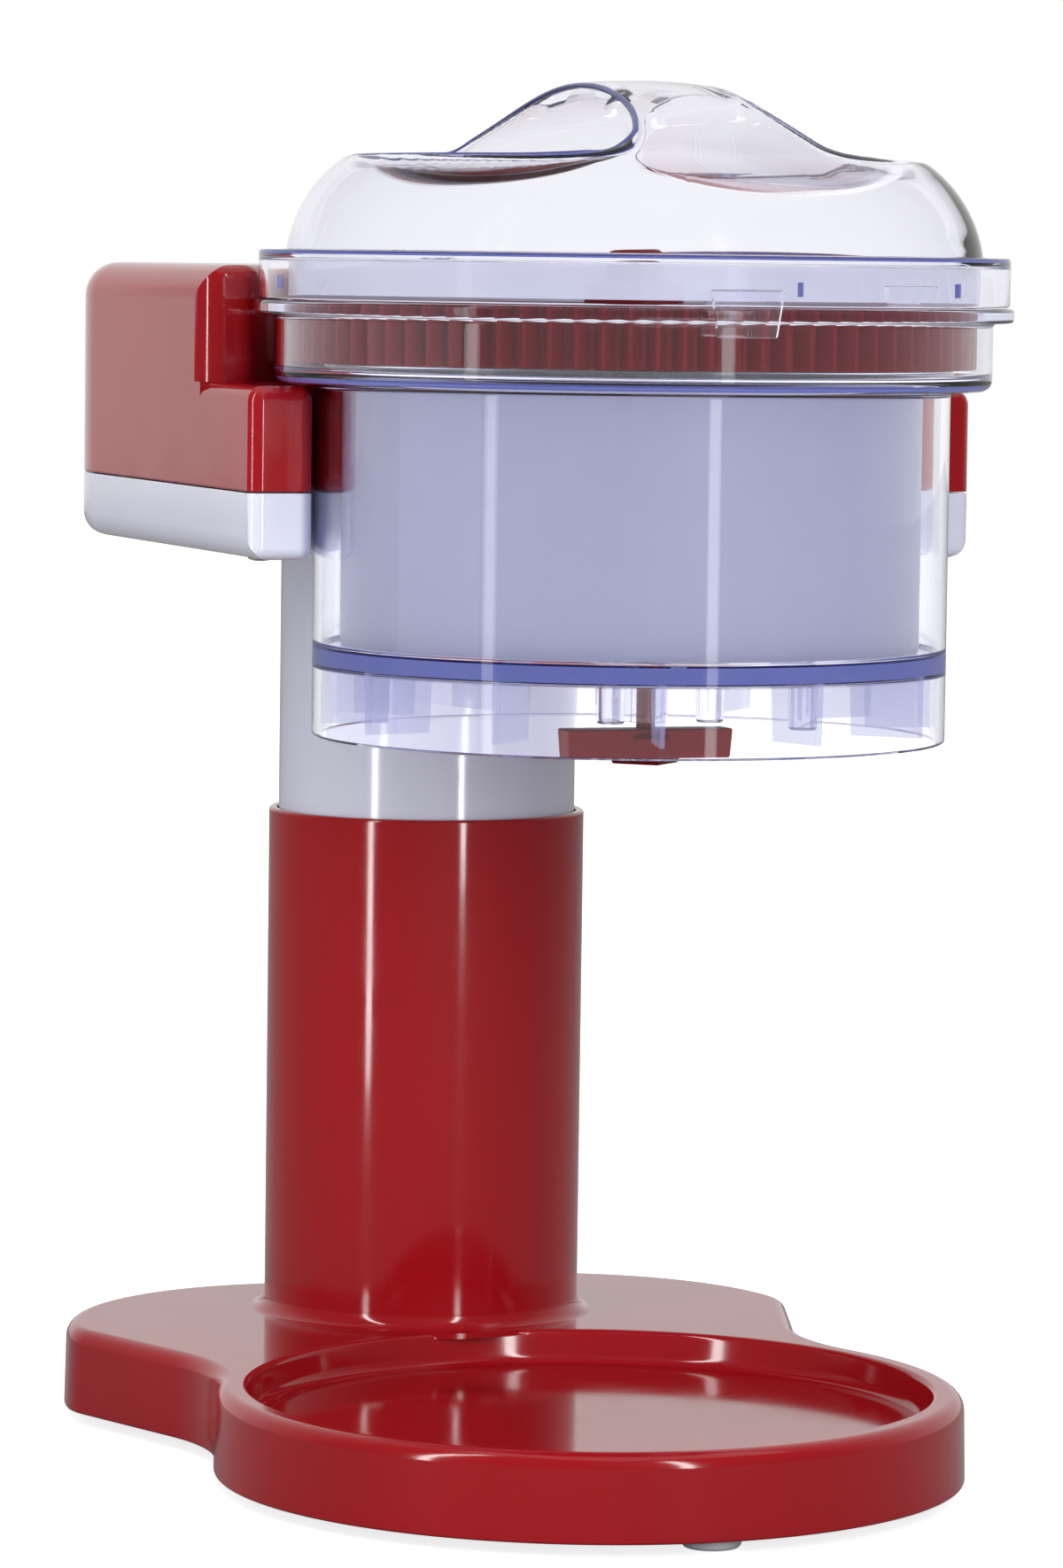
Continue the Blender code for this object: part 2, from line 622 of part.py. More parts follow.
def make_drive(steel, motor_metal):
    """The chassis plate with its posts, and the geared motor that hangs from it inside the column."""
    plate_outline = outline_of(
        both_sides(
            [
                ((0, 0), 0.0850, math.pi / 2, math.radians(66), 5),
                ((0.046, 0.094), 0.006, -math.pi / 2, 0, 4),
                ((0.046, 0.190), 0.008, 0, math.pi / 2, 4),
            ]
        )
    )
    plate = lofted("gear_plate", [(plate_outline, GEAR_PLATE_BOTTOM), (plate_outline, GEAR_PLATE_TOP)], steel)
    holes = bmesh.new()
    for spot in PLATE_POSTS:
        add_turned(holes, rod_profile(SCREW_HOLE_RADIUS, 0.27, 0.29), COARSE_STEPS // 2, spot)
    for y in (PINION_Y, IDLER_Y):
        add_turned(holes, rod_profile(POST_RADIUS - 0.0012, 0.27, 0.29), COARSE_STEPS // 2, (0, y))
    add_turned(holes, rod_profile(POST_RADIUS + 0.002, 0.27, 0.29), COARSE_STEPS // 2, (0, MOTOR_Y))
    cut(plate, object_of(holes, "gear_plate_holes", None))
    for name, y in (("pinion_post", PINION_Y), ("idler_post", IDLER_Y)):
        neck = POST_RADIUS - 0.0015
        profile = [
            (0, GEAR_PLATE_BOTTOM + 0.0002),
            (neck, GEAR_PLATE_BOTTOM + 0.0002),
            (neck, GEAR_PLATE_TOP + CLEARANCE),
            (POST_RADIUS, GEAR_PLATE_TOP + CLEARANCE),
            (POST_RADIUS, GEAR_TOP + 0.0005),
            (POST_RADIUS - 0.0005, GEAR_TOP + 0.0010),
            (0, GEAR_TOP + 0.0010),
        ]
        turned(name, profile, steel, COARSE_STEPS, (0, y))
    for index, spot in enumerate(PLATE_POSTS, 1):
        screw = make_screw(f"gear_plate_screw_{index}", spot, 0, 0.010, steel)
        screw.location.z = GEAR_PLATE_TOP + 0.0018 + CLEARANCE
        screw.rotation_euler = (math.pi, 0, 0)
    gearbox_top = GEAR_PLATE_BOTTOM - CLEARANCE
    gearbox = [
        (0, 0.2380),
        (0.0335, 0.2380),
        (0.0335, gearbox_top - 0.002),
        (0.0320, gearbox_top),
        (0.0048, gearbox_top),
        (0.0040, gearbox_top),
        (0.0040, GEAR_TOP + 0.0015),
        (0.0034, GEAR_TOP + 0.0022),
        (0, GEAR_TOP + 0.0022),
    ]
    turned("motor_gearbox", gearbox, steel, at=(0, MOTOR_Y))
    can = [
        (0, 0.1740),
        (0.0090, 0.1740),
        (0.0090, 0.1780),
        (0.0270, 0.1780),
        (0.0285, 0.1795),
        (0.0285, 0.2380 - CLEARANCE),
        (0, 0.2380 - CLEARANCE),
    ]
    turned("drive_motor", can, motor_metal, at=(0, MOTOR_Y))


def gear_outline(teeth, flank_points, first_tooth):
    """An involute spur gear's outline, with the middle of its first tooth at the given angle."""
    pitch = GEAR_MODULE * teeth / 2
    base = pitch * math.cos(PRESSURE_ANGLE)
    tip = pitch + GEAR_MODULE
    root = pitch - 1.25 * GEAR_MODULE
    start = max(base, root)
    half_at_pitch = math.pi / (2 * teeth) - BACKLASH / (2 * pitch)

    def half_angle(radius):
        """Half of the tooth's thickness at this radius, as an angle."""
        roll = math.acos(min(1.0, base / radius))
        return half_at_pitch + math.tan(PRESSURE_ANGLE) - PRESSURE_ANGLE - math.tan(roll) + roll

    points = []
    for tooth in range(teeth):
        middle = first_tooth + 2 * math.pi * tooth / teeth
        radii = [start + (tip - start) * i / (flank_points - 1) for i in range(flank_points)]
        flank = [(radius, half_angle(radius)) for radius in radii]
        if start > root:
            flank.insert(0, (root, half_angle(start)))
        for radius, half in flank:
            points.append((radius * math.cos(middle - half), radius * math.sin(middle - half)))
        for radius, half in reversed(flank):
            points.append((radius * math.cos(middle + half), radius * math.sin(middle + half)))
    return points


def make_small_gear(name, teeth, y, tooth_faces_hopper, material):
    towards_hopper = -math.pi / 2
    first_tooth = towards_hopper + (0 if tooth_faces_hopper else math.pi / teeth)
    outline = gear_outline(teeth, 3, first_tooth)
    gear = lofted(name, [(outline, GEAR_BOTTOM), (outline, GEAR_TOP)], material, at=(0, y))
    bore = turned(f"{name}_bore", rod_profile(POST_RADIUS + CLEARANCE, 0.28, 0.31), None, COARSE_STEPS, (0, y))
    cut(gear, bore)


def make_head(red, white, steel, motor_metal, gear_plastic, dark):
    make_lower_shell(white)
    make_upper_cover(red)
    tube = pipe_profile(TUBE_RADIUS, TUBE_BORE, SLEEVE_LEDGE + CLEARANCE, TUBE_TOP)
    turned("column_tube", tube, white, at=(0, COLUMN_Y))
    for index, spot in enumerate(HEAD_SCREWS, 1):
        make_screw(f"head_screw_{index}", spot, HEAD_BOTTOM - 0.0009, 0.026, steel)
    make_drive(steel, motor_metal)
    make_small_gear("drive_pinion", PINION_TEETH, PINION_Y, False, gear_plastic)
    make_small_gear("idler_gear", IDLER_TEETH, IDLER_Y, True, gear_plastic)
    make_small_gear("motor_gear", MOTOR_TEETH, MOTOR_Y, False, gear_plastic)
    make_gland(dark)
    make_switch(dark, dark)


# Hopper


def make_hopper_shell(material):
    inner = BARREL_RADIUS - HOPPER_WALL
    collar_inner = COLLAR_RADIUS - HOPPER_WALL
    profile = [
        (0, FLOOR_BOTTOM),
        (inner, FLOOR_BOTTOM),
        (inner, SKIRT_BOTTOM),
        (BARREL_RADIUS, SKIRT_BOTTOM),
        (BARREL_RADIUS, SHOULDER_BOTTOM),
        (COLLAR_RADIUS - 0.001, SHOULDER_BOTTOM),
        (COLLAR_RADIUS, SHOULDER_BOTTOM + 0.001),
        (COLLAR_RADIUS, FLANGE_TOP - FLANGE_THICKNESS),
        (FLANGE_RADIUS - 0.0008, FLANGE_TOP - FLANGE_THICKNESS),
        (FLANGE_RADIUS, FLANGE_TOP - FLANGE_THICKNESS + 0.0008),
        (FLANGE_RADIUS, FLANGE_TOP),
        (collar_inner, FLANGE_TOP),
        (collar_inner, SHOULDER_TOP),
        (inner + 0.0030, SHOULDER_TOP),
        (inner + 0.0030, RING_BOTTOM - CLEARANCE),
        (inner + 0.0010, RING_BOTTOM - CLEARANCE),
        (inner, RING_BOTTOM - 0.0015),
        (inner, FLOOR_TOP),
        (0, FLOOR_TOP),
    ]
    hopper = turned("hopper", profile, material, steps=32)
    ribs = bmesh.new()
    for i in range(RIB_COUNT):
        angle = 2 * math.pi * (i + 0.5) / RIB_COUNT
        turn = Matrix.Rotation(angle, 3, "Z")
        corners = [turn @ Vector((x, y, 0)) for x, y in rectangle(0.060, -0.0008, BARREL_RADIUS - 0.001, 0.0008)]
        flat = [(corner.x, corner.y) for corner in corners]
        add_lofted(ribs, [(flat, SKIRT_BOTTOM + 0.003), (flat, FLOOR_BOTTOM + 0.001)])
    bosses = bmesh.new()
    for spot in BOSSES:
        boss = rod_profile(BOSS_RADIUS, SKIRT_BOTTOM + 0.0045, FLOOR_BOTTOM + 0.001)
        add_turned(bosses, boss, COARSE_STEPS // 2, spot)
    knob_boss = turned(
        "knob_boss",
        [
            (KNOB_STEM_RADIUS + CLEARANCE, SKIRT_BOTTOM + 0.0040),
            (0.0055, SKIRT_BOTTOM + 0.0040),
            (0.0055, FLOOR_BOTTOM + 0.001),
            (KNOB_STEM_RADIUS + CLEARANCE, FLOOR_BOTTOM + 0.001),
        ],
        None,
        COARSE_STEPS,
        KNOB_SPOT,
    )
    stem_hole = turned(
        "stem_hole", rod_profile(KNOB_STEM_RADIUS + CLEARANCE, 0.2, FLOOR_TOP - 0.0012), None, COARSE_STEPS, KNOB_SPOT
    )
    turn = Matrix.Rotation(BLADE_ANGLE, 3, "Z")
    slot_corners = [turn @ Vector((x, y, 0)) for x, y in rectangle(0.012, -0.0060, 0.066, 0.0040)]
    slot = [(corner.x, corner.y) for corner in slot_corners]
    ice_slot = lofted("ice_slot", [(slot, 0.20), (slot, 0.22)])
    screw_holes = bmesh.new()
    for spot in blade_screw_spots():
        add_turned(screw_holes, rod_profile(0.0018, FLOOR_TOP - 0.0034, 0.22), COARSE_STEPS // 2, spot)
    gate = rectangle(-0.0195, 0.0795, 0.0195, 0.0915)
    pinion_gate = lofted(
        "pinion_gate",
        [(gate, SHOULDER_BOTTOM - 0.005), (gate, FLANGE_TOP - FLANGE_THICKNESS - 0.0002)],
    )
    join(hopper, object_of(ribs, "floor_ribs", None), object_of(bosses, "floor_bosses", None), knob_boss)
    cut(hopper, stem_hole, ice_slot, pinion_gate, object_of(screw_holes, "blade_screw_holes", None))




def blade_frame(x, y):
    corner = Matrix.Rotation(BLADE_ANGLE, 3, "Z") @ Vector((x, y, 0))
    return (corner.x, corner.y)


def blade_screw_spots():
    return [blade_frame(x, 0.0095) for x in (0.022, 0.054)]


def make_blade(material, steel):
    """A shaving blade across the slot in the hopper's floor, with one bevelled edge."""
    thickness = 0.0012
    bottom = FLOOR_TOP + CLEARANCE
    bm = bmesh.new()
    body = [blade_frame(x, y) for x, y in rectangle(0.014, -0.0015, 0.064, 0.0140)]
    top = [blade_frame(x, y) for x, y in rectangle(0.014, 0.0020, 0.064, 0.0140)]
    add_lofted(bm, [(body, bottom), (top, bottom + thickness)])
    blade = object_of(bm, "blade", material)
    holes = bmesh.new()
    for spot in blade_screw_spots():
        add_turned(holes, rod_profile(SCREW_HOLE_RADIUS, 0.21, 0.23), COARSE_STEPS // 2, spot)
    cut(blade, object_of(holes, "blade_holes", None))
    for index, spot in enumerate(blade_screw_spots(), 1):
        screw = make_screw(f"blade_screw_{index}", spot, 0, 0.0050, steel)
        screw.location.z = bottom + thickness + 0.0018 + CLEARANCE
        screw.rotation_euler = (math.pi, 0, 0)


def make_blade_knob(material):
    """A wing knob under the hopper: a bar with a square hub set cornerwise, and a stem."""
    bottom = 0.1890
    top = 0.1966
    half_length = 0.0222
    bar = rectangle(-half_length, -0.0042, half_length, 0.0042)
    slim = rectangle(-half_length + 0.0006, -0.0036, half_length - 0.0006, 0.0036)
    edge = 0.0008
    levels = [(slim, bottom), (bar, bottom + edge), (bar, top - edge), (slim, top)]
    knob = lofted("blade_knob", levels, material, KNOB_SPOT)
    reach = 0.0092
    diamond = [(reach, 0), (0, reach), (-reach, 0), (0, -reach)]
    hub = lofted("knob_hub", [(diamond, bottom - 0.0014), (diamond, top - 0.0020)], None, KNOB_SPOT)
    rod = rod_profile(KNOB_STEM_RADIUS, top - 0.003, FLOOR_TOP - 0.0016)
    stem = turned("knob_stem", rod, None, COARSE_STEPS, KNOB_SPOT)
    join(knob, hub, stem)


def make_drive_disc(material):
    """The ring gear, its web and the hub that guides the presser's shaft."""
    outline = gear_outline(RING_TEETH, 2, math.pi / 2)
    disc = lofted("drive_disc", [(outline, RING_BOTTOM), (outline, RING_TOP)], material)
    web_bottom = RING_TOP - 0.0026
    hollow = turned("disc_hollow", rod_profile(0.0785, RING_BOTTOM - 0.01, web_bottom), steps=32)
    hub = turned(
        "disc_hub",
        [
            (0, 0.2920),
            (0.0090, 0.2920),
            (0.0095, web_bottom + 0.0005),
            (HUB_RADIUS, web_bottom + 0.0005),
            (HUB_RADIUS, HUB_TOP - 0.0008),
            (HUB_RADIUS - 0.0008, HUB_TOP),
            (0, HUB_TOP),
        ],
        None,
        COARSE_STEPS,
    )
    bore = turned("disc_bore", rod_profile(SHAFT_BORE, 0.28, 0.32), None, COARSE_STEPS)
    cut(disc, hollow)
    join(disc, hub)
    cut(disc, bore)


def make_presser(red, steel):
    """The sprung plate that bears on the ice, with its shaft and the knob that shows above the disc."""
    neck = HUB_TOP + CLEARANCE
    shaft = [
        (0, PRESSER_BOTTOM - 0.0010),
        (0.0070, PRESSER_BOTTOM - 0.0010),
        (0.0070, PRESSER_BOTTOM - CLEARANCE),
        (0.0032, PRESSER_BOTTOM - CLEARANCE),
        (0.0032, PRESSER_TOP + CLEARANCE),
        (SHAFT_RADIUS, PRESSER_TOP + CLEARANCE),
        (SHAFT_RADIUS, neck),
        (SHAFT_KNOB_RADIUS, neck),
        (SHAFT_KNOB_RADIUS, SHAFT_KNOB_TOP - 0.0010),
        (SHAFT_KNOB_RADIUS - 0.0012, SHAFT_KNOB_TOP),
        (0, SHAFT_KNOB_TOP),
    ]
    turned("presser_shaft", shaft, red, COARSE_STEPS)
    plate = turned("presser_plate", pipe_profile(PRESSER_RADIUS, 0.0036, PRESSER_BOTTOM, PRESSER_TOP), steel)
    spikes = bmesh.new()
    for i in range(9):
        angle = 2 * math.pi * i / 9
        radius = 0.030 if i % 3 == 0 else 0.052
        spot = (radius * math.cos(angle), radius * math.sin(angle))
        profile = [(0, PRESSER_BOTTOM - 0.0060), (0.0024, PRESSER_BOTTOM + 0.001), (0, PRESSER_BOTTOM + 0.001)]
        add_turned(spikes, profile, 6, spot)
    join(plate, object_of(spikes, "presser_spikes", None))


def make_spring(material):
    """A compression spring between the disc's web and the presser plate."""
    wire = 0.0007
    coil_radius = 0.0150
    turns = 5
    bottom = PRESSER_TOP + wire + CLEARANCE
    top = RING_TOP - 0.0026 - wire - CLEARANCE
    steps = turns * 10
    sides = 4
    bm = bmesh.new()
    rings = []
    for i in range(steps + 1):
        part = i / steps
        angle = 2 * math.pi * turns * part
        out = Vector((math.cos(angle), math.sin(angle), 0))
        centre = out * coil_radius + Vector((0, 0, bottom + (top - bottom) * part))
        ring = []
        for k in range(sides):
            around = 2 * math.pi * k / sides
            ring.append(bm.verts.new(centre + wire * (math.cos(around) * out + math.sin(around) * Vector((0, 0, 1)))))
        rings.append(ring)
    for ring, following in zip(rings, rings[1:]):
        for k in range(sides):
            j = (k + 1) % sides
            bm.faces.new((ring[k], ring[j], following[j], following[k]))
    bm.faces.new(rings[0][::-1])
    bm.faces.new(rings[-1])
    object_of(bm, "presser_spring", material)


def make_hopper(clear, frosted, red, steel):
    make_hopper_shell(clear)
    inner = SLEEVE_CUP_RADIUS - SLEEVE_CUP_WALL
    turned(
        "ice_sleeve",
        pipe_profile(SLEEVE_CUP_RADIUS, inner, FLOOR_TOP + CLEARANCE, SLEEVE_CUP_TOP),
        frosted,
    )
    make_blade(steel, steel)
    make_blade_knob(red)
    make_drive_disc(red)
    make_presser(red, steel)
    make_spring(steel)


# Lid


def dome_points(thinner=0.0):
    """The dome's profile from its foot to the top: a shoulder arc that runs into the crown's sphere."""
    tilt = math.asin(SHOULDER_START / CROWN_RADIUS)
    crown_centre = CROWN_TOP - CROWN_RADIUS
    join_height = crown_centre + CROWN_RADIUS * math.cos(tilt)
    centre = (
        SHOULDER_START - SHOULDER_ARC * math.sin(tilt),
        join_height - SHOULDER_ARC * math.cos(tilt),
    )
    foot = math.asin((SHOULDER_END - centre[0]) / SHOULDER_ARC)
    shoulder = SHOULDER_ARC - thinner
    points = []
    for i in range(3):
        angle = foot + (tilt - foot) * i / 3
        points.append((centre[0] + shoulder * math.sin(angle), centre[1] + shoulder * math.cos(angle)))
    crown = CROWN_RADIUS - thinner
    for i in range(5):
        angle = tilt * (1 - i / 5)
        points.append((crown * math.sin(angle), crown_centre + crown * math.cos(angle)))
    points.append((0, crown_centre + crown))
    return points


def pocket(name, side, grown):
    """The scoop beside the handle ridge: a hollow flank along Y, kept to a shallow round dish."""
    rise = CROWN_TOP + 0.001 - POCKET_FLOOR
    reach = POCKET_REACH - RIDGE_HALF_WIDTH
    flank = [(RIDGE_HALF_WIDTH - grown, CROWN_TOP + 0.02)]
    for i in range(7):
        angle = math.pi / 2 * i / 6
        across, down = (reach + grown) * math.cos(angle), (rise + grown) * math.sin(angle)
        flank.append((POCKET_REACH - across, CROWN_TOP + 0.001 - down))
    flank += [(0.09, POCKET_FLOOR - grown), (0.09, CROWN_TOP + 0.02)]
    bm = bmesh.new()
    rings = [[bm.verts.new((side * x, y, z)) for x, z in flank] for y in (-0.085, 0.085)]
    for i in range(len(flank)):
        j = (i + 1) % len(flank)
        bm.faces.new((rings[0][i], rings[0][j], rings[1][j], rings[1][i]))
    bm.faces.new(rings[0])
    bm.faces.new(rings[1])
    scoop = object_of(bm, name, None)
    beyond = 0.008
    dish = turned(
        f"{name}_dish",
        [
            (0, POCKET_FLOOR - 0.001 - grown),
            (0.045, POCKET_FLOOR - 0.001 - grown),
            (0.060, POCKET_FLOOR + 0.0026 - grown),
            (POCKET_RIM_RADIUS, POCKET_RIM - grown),
            (POCKET_RIM_RADIUS + beyond, POCKET_RIM + 0.006 - grown),
            (POCKET_RIM_RADIUS + beyond, CROWN_TOP + 0.03),
            (0, CROWN_TOP + 0.03),
        ],
    )
    combine(scoop, dish, "INTERSECT")
    return scoop


def make_lid(material):
    outer = [
        (0, LID_BOTTOM),
        (LID_RADIUS, LID_BOTTOM),
        (LID_RADIUS, LID_RIM_TOP - 0.0010),
        (LID_RADIUS - 0.0010, LID_RIM_TOP),
        (SHOULDER_END + 0.0005, LID_RIM_TOP + 0.0002),
    ]
    inner = [
        (0, LID_BOTTOM - 0.01),
        (LID_RADIUS - LID_WALL, LID_BOTTOM - 0.01),
        (LID_RADIUS - LID_WALL, LID_RIM_TOP - LID_WALL),
        (SHOULDER_END - LID_WALL, LID_RIM_TOP - LID_WALL),
    ]
    lid = turned("lid", outer + dome_points(), material, steps=32)
    core = turned("lid_core", inner + dome_points(LID_WALL), steps=32)
    for side, label in ((1, "right"), (-1, "left")):
        cut(lid, pocket(f"pocket_{label}", side, 0))
        cut(core, pocket(f"pocket_{label}_core", side, LID_WALL))
    cut(lid, core)
    # The tab stands off the skirt in front and hangs over the hopper's flange.
    front = -0.0998
    back = -0.0976
    tab = [(-0.0073, 0.2960), (0.0073, 0.2960), (0.0091, 0.3074), (-0.0091, 0.3074)]
    bridge = rectangle(-0.0088, back - 0.0005, 0.0088, -0.0932)
    bm = bmesh.new()
    rings = [[bm.verts.new((x, y, z)) for x, z in tab] for y in (front, back)]
    for i in range(4):
        j = (i + 1) % 4
        bm.faces.new((rings[0][i], rings[0][j], rings[1][j], rings[1][i]))
    bm.faces.new(rings[0])
    bm.faces.new(rings[1])
    plate = object_of(bm, "tab_plate", None)
    ledge = lofted("tab_ledge", [(bridge, 0.3050), (bridge, 0.3068)])
    for piece in (plate, ledge):
        piece.rotation_euler = (0, 0, TAB_TURN)
    join(lid, plate, ledge)


def main():
    clear_scene()
    red = make_material("glossy_red", (0.50, 0.02, 0.025), 0.22)
    white = make_material("white_plastic", (0.72, 0.73, 0.82), 0.30)
    dark = make_material("dark_plastic", (0.03, 0.03, 0.035), 0.45)
    rubber = make_material("grey_rubber", (0.45, 0.45, 0.48), 0.75)
    steel = make_material("steel", (0.60, 0.61, 0.63), 0.28, metallic=1.0)
    motor_metal = make_material("motor_can", (0.42, 0.43, 0.45), 0.40, metallic=1.0)
    gear_plastic = make_material("gear_plastic", (0.85, 0.84, 0.78), 0.40)
    clear = make_material("clear_plastic", (0.80, 0.82, 0.95), 0.06, alpha=0.30)
    frosted = make_material("frosted_plastic", (0.60, 0.62, 0.76), 0.45)
    make_base(red, dark, rubber, steel)
    make_head(red, white, steel, motor_metal, gear_plastic, dark)
    make_hopper(clear, frosted, red, steel)
    make_lid(clear)


main()
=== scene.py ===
"""Looks of the slushie machine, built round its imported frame. Metres, +Z up, front towards -Y.

Plan coordinates are measured from the hopper's axis, as the CAD's are. Pieces are placed HOPPER_Y along Y.
"""

import json
import math

import bmesh
import bpy
from mathutils import Matrix, Vector

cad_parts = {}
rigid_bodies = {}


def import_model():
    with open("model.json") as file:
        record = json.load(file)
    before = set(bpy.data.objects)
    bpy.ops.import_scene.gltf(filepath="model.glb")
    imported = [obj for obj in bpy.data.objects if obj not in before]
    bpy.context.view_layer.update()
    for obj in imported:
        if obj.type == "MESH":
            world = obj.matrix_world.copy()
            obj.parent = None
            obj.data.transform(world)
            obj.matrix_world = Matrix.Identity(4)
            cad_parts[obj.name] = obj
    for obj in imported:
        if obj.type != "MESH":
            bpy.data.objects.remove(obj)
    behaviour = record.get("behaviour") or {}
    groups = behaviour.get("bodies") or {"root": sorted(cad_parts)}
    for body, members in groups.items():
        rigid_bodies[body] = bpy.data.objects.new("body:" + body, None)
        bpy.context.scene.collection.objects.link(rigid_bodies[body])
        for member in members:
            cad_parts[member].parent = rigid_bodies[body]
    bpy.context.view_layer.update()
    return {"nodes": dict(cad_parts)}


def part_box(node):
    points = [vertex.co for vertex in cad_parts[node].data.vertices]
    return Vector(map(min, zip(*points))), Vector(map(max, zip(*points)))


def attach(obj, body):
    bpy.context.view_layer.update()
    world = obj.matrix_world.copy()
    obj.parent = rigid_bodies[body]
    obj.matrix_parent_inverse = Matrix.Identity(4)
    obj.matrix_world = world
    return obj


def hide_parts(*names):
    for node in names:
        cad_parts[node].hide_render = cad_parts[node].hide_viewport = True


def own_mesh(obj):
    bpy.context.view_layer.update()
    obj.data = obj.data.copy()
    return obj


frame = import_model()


def centre_of(node):
    low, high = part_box(node)
    return (low + high) / 2


def plan_of(node):
    """The node's place in plan, measured from the hopper's axis."""
    centre = centre_of(node)
    return (centre.x, centre.y - HOPPER_Y)


def top_of(node):
    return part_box(node)[1].z


def bottom_of(node):
    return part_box(node)[0].z


def half_width_of(node):
    low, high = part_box(node)
    return (high.x - low.x) / 2


# Places that the frame gives.
HOPPER_Y = centre_of("ice_sleeve").y
COLUMN_Y = centre_of("column_tube").y - HOPPER_Y
PINION_Y = centre_of("drive_pinion").y - HOPPER_Y
HEAD_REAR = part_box("head_upper_cover")[1].y - HOPPER_Y
GLAND = centre_of("cord_gland") - Vector((0, HOPPER_Y, 0))
SWITCH_Z = centre_of("switch_bezel").z
KNOB = centre_of("blade_knob") - Vector((0, HOPPER_Y, 0))

# The camera's direction round the machine, from the front.
AZIMUTH = math.radians(-21.02)

ROUND_STEPS = 144
SMALL_STEPS = 48
GAP = 0.0003

# Base
BASE_BOTTOM = bottom_of("base_housing")
BASE_TOP = 0.0254
BASE_FILLET = 0.004
BASE_DRAFT = 0.0004
BASE_WALL = 0.003
TRAY_Y = 0.0202
TRAY_LOBE_RADIUS = 0.0965
TRAY_RADIUS = 0.0878
TRAY_FLOOR = 0.0165
REAR_LOBE = (0.034, 0.136)
REAR_LOBE_RADIUS = 0.070
HIP_RADIUS = 0.022
HIP_ANGLE = math.radians(8)
FLANK_ANGLE = math.radians(19)
WAIST_RADIUS = 0.060
SLEEVE_RADIUS = 0.0431
SLEEVE_BORE = 0.0410
SLEEVE_TOP = 0.1635
SLEEVE_LEDGE = 0.098

# Head
HEAD_HALF_WIDTH = half_width_of("head_upper_cover")
HEAD_CORNER = 0.058
HEAD_BOTTOM = bottom_of("head_lower_shell")
HEAD_SEAM = bottom_of("head_upper_cover")
HEAD_WALL = 0.0025
HEAD_EDGE = 0.004
ARM_FRONT = 0.0099
ARM_TOP = 0.2817
CRADLE_RADIUS = 0.0813
CASE_FRONT = 0.052
CASE_TOP = top_of("head_upper_cover")
CASE_FILLET = 0.009
CASE_RECESS_RADIUS = 0.098
SHELL_FILLET = 0.006
SEAM_BEVEL = 0.0004
HEAD_SCREWS = ((-0.0893, 0.026), (0.0893, 0.026), (-0.076, 0.150), (0.076, 0.150))

# Gears
GEAR_MODULE = 0.002
PRESSURE_ANGLE = math.radians(25)
BACKLASH = 0.00025
RING_TEETH = 84
RING_BOTTOM = bottom_of("drive_disc")
RING_TOP = 0.3029

# Hopper
FLANGE_RADIUS = half_width_of("hopper")
FLANGE_TOP = top_of("hopper")
FLANGE_THICKNESS = 0.0036
COLLAR_RADIUS = 0.0900
HOPPER_WALL = 0.0022
SHOULDER_BOTTOM = 0.2823
SHOULDER_TOP = 0.2850
BARREL_RADIUS = 0.0797
SKIRT_BOTTOM = bottom_of("hopper")
FLOOR_BOTTOM = 0.2122
FLOOR_TOP = 0.2168
RIB_COUNT = 12
BLADE_ANGLE = math.radians(52)
HUB_RADIUS = 0.0125
HUB_TOP = top_of("drive_disc")

# Lid
LID_RADIUS = 0.0941
LID_BOTTOM = 0.3033
LID_RIM_TOP = 0.3155
LID_WALL = 0.002
CROWN_TOP = top_of("lid")
CROWN_RADIUS = 0.1444
SHOULDER_START = 0.070
SHOULDER_ARC = 0.034
SHOULDER_END = 0.0872
RIDGE_HALF_WIDTH = 0.0155
POCKET_REACH = 0.064
POCKET_FLOOR = 0.3311
DISH_RADIUS = 0.0450
DISH_RIM_RADIUS = 0.0705
DISH_RIM_RISE = 0.0090
POCKET_MIDDLE = 0.0400
TAB_TURN = math.radians(-5.2)
LUG_TURN = math.radians(23.6)
STOP_TURNS = (-89.9, 4.2, 36.6)


# Materials


def arithmetic(tree, operation, *inputs):
    """The result of a Math node. Each input is a socket or a number."""
    node = tree.nodes.new("ShaderNodeMath")
    node.operation = operation
    for socket, source in zip(node.inputs, inputs):
        if isinstance(source, float):
            socket.default_value = source
        else:
            tree.links.new(source, socket)
    return node.outputs["Value"]


def mapped(tree, source, low, high, start=0.0, end=1.0):
    """A value that runs from low to high as source goes from start to end."""
    node = tree.nodes.new("ShaderNodeMapRange")
    for name, value in (("From Min", start), ("From Max", end), ("To Min", low), ("To Max", high)):
        node.inputs[name].default_value = value
    tree.links.new(source, node.inputs["Value"])
    return node.outputs["Result"]


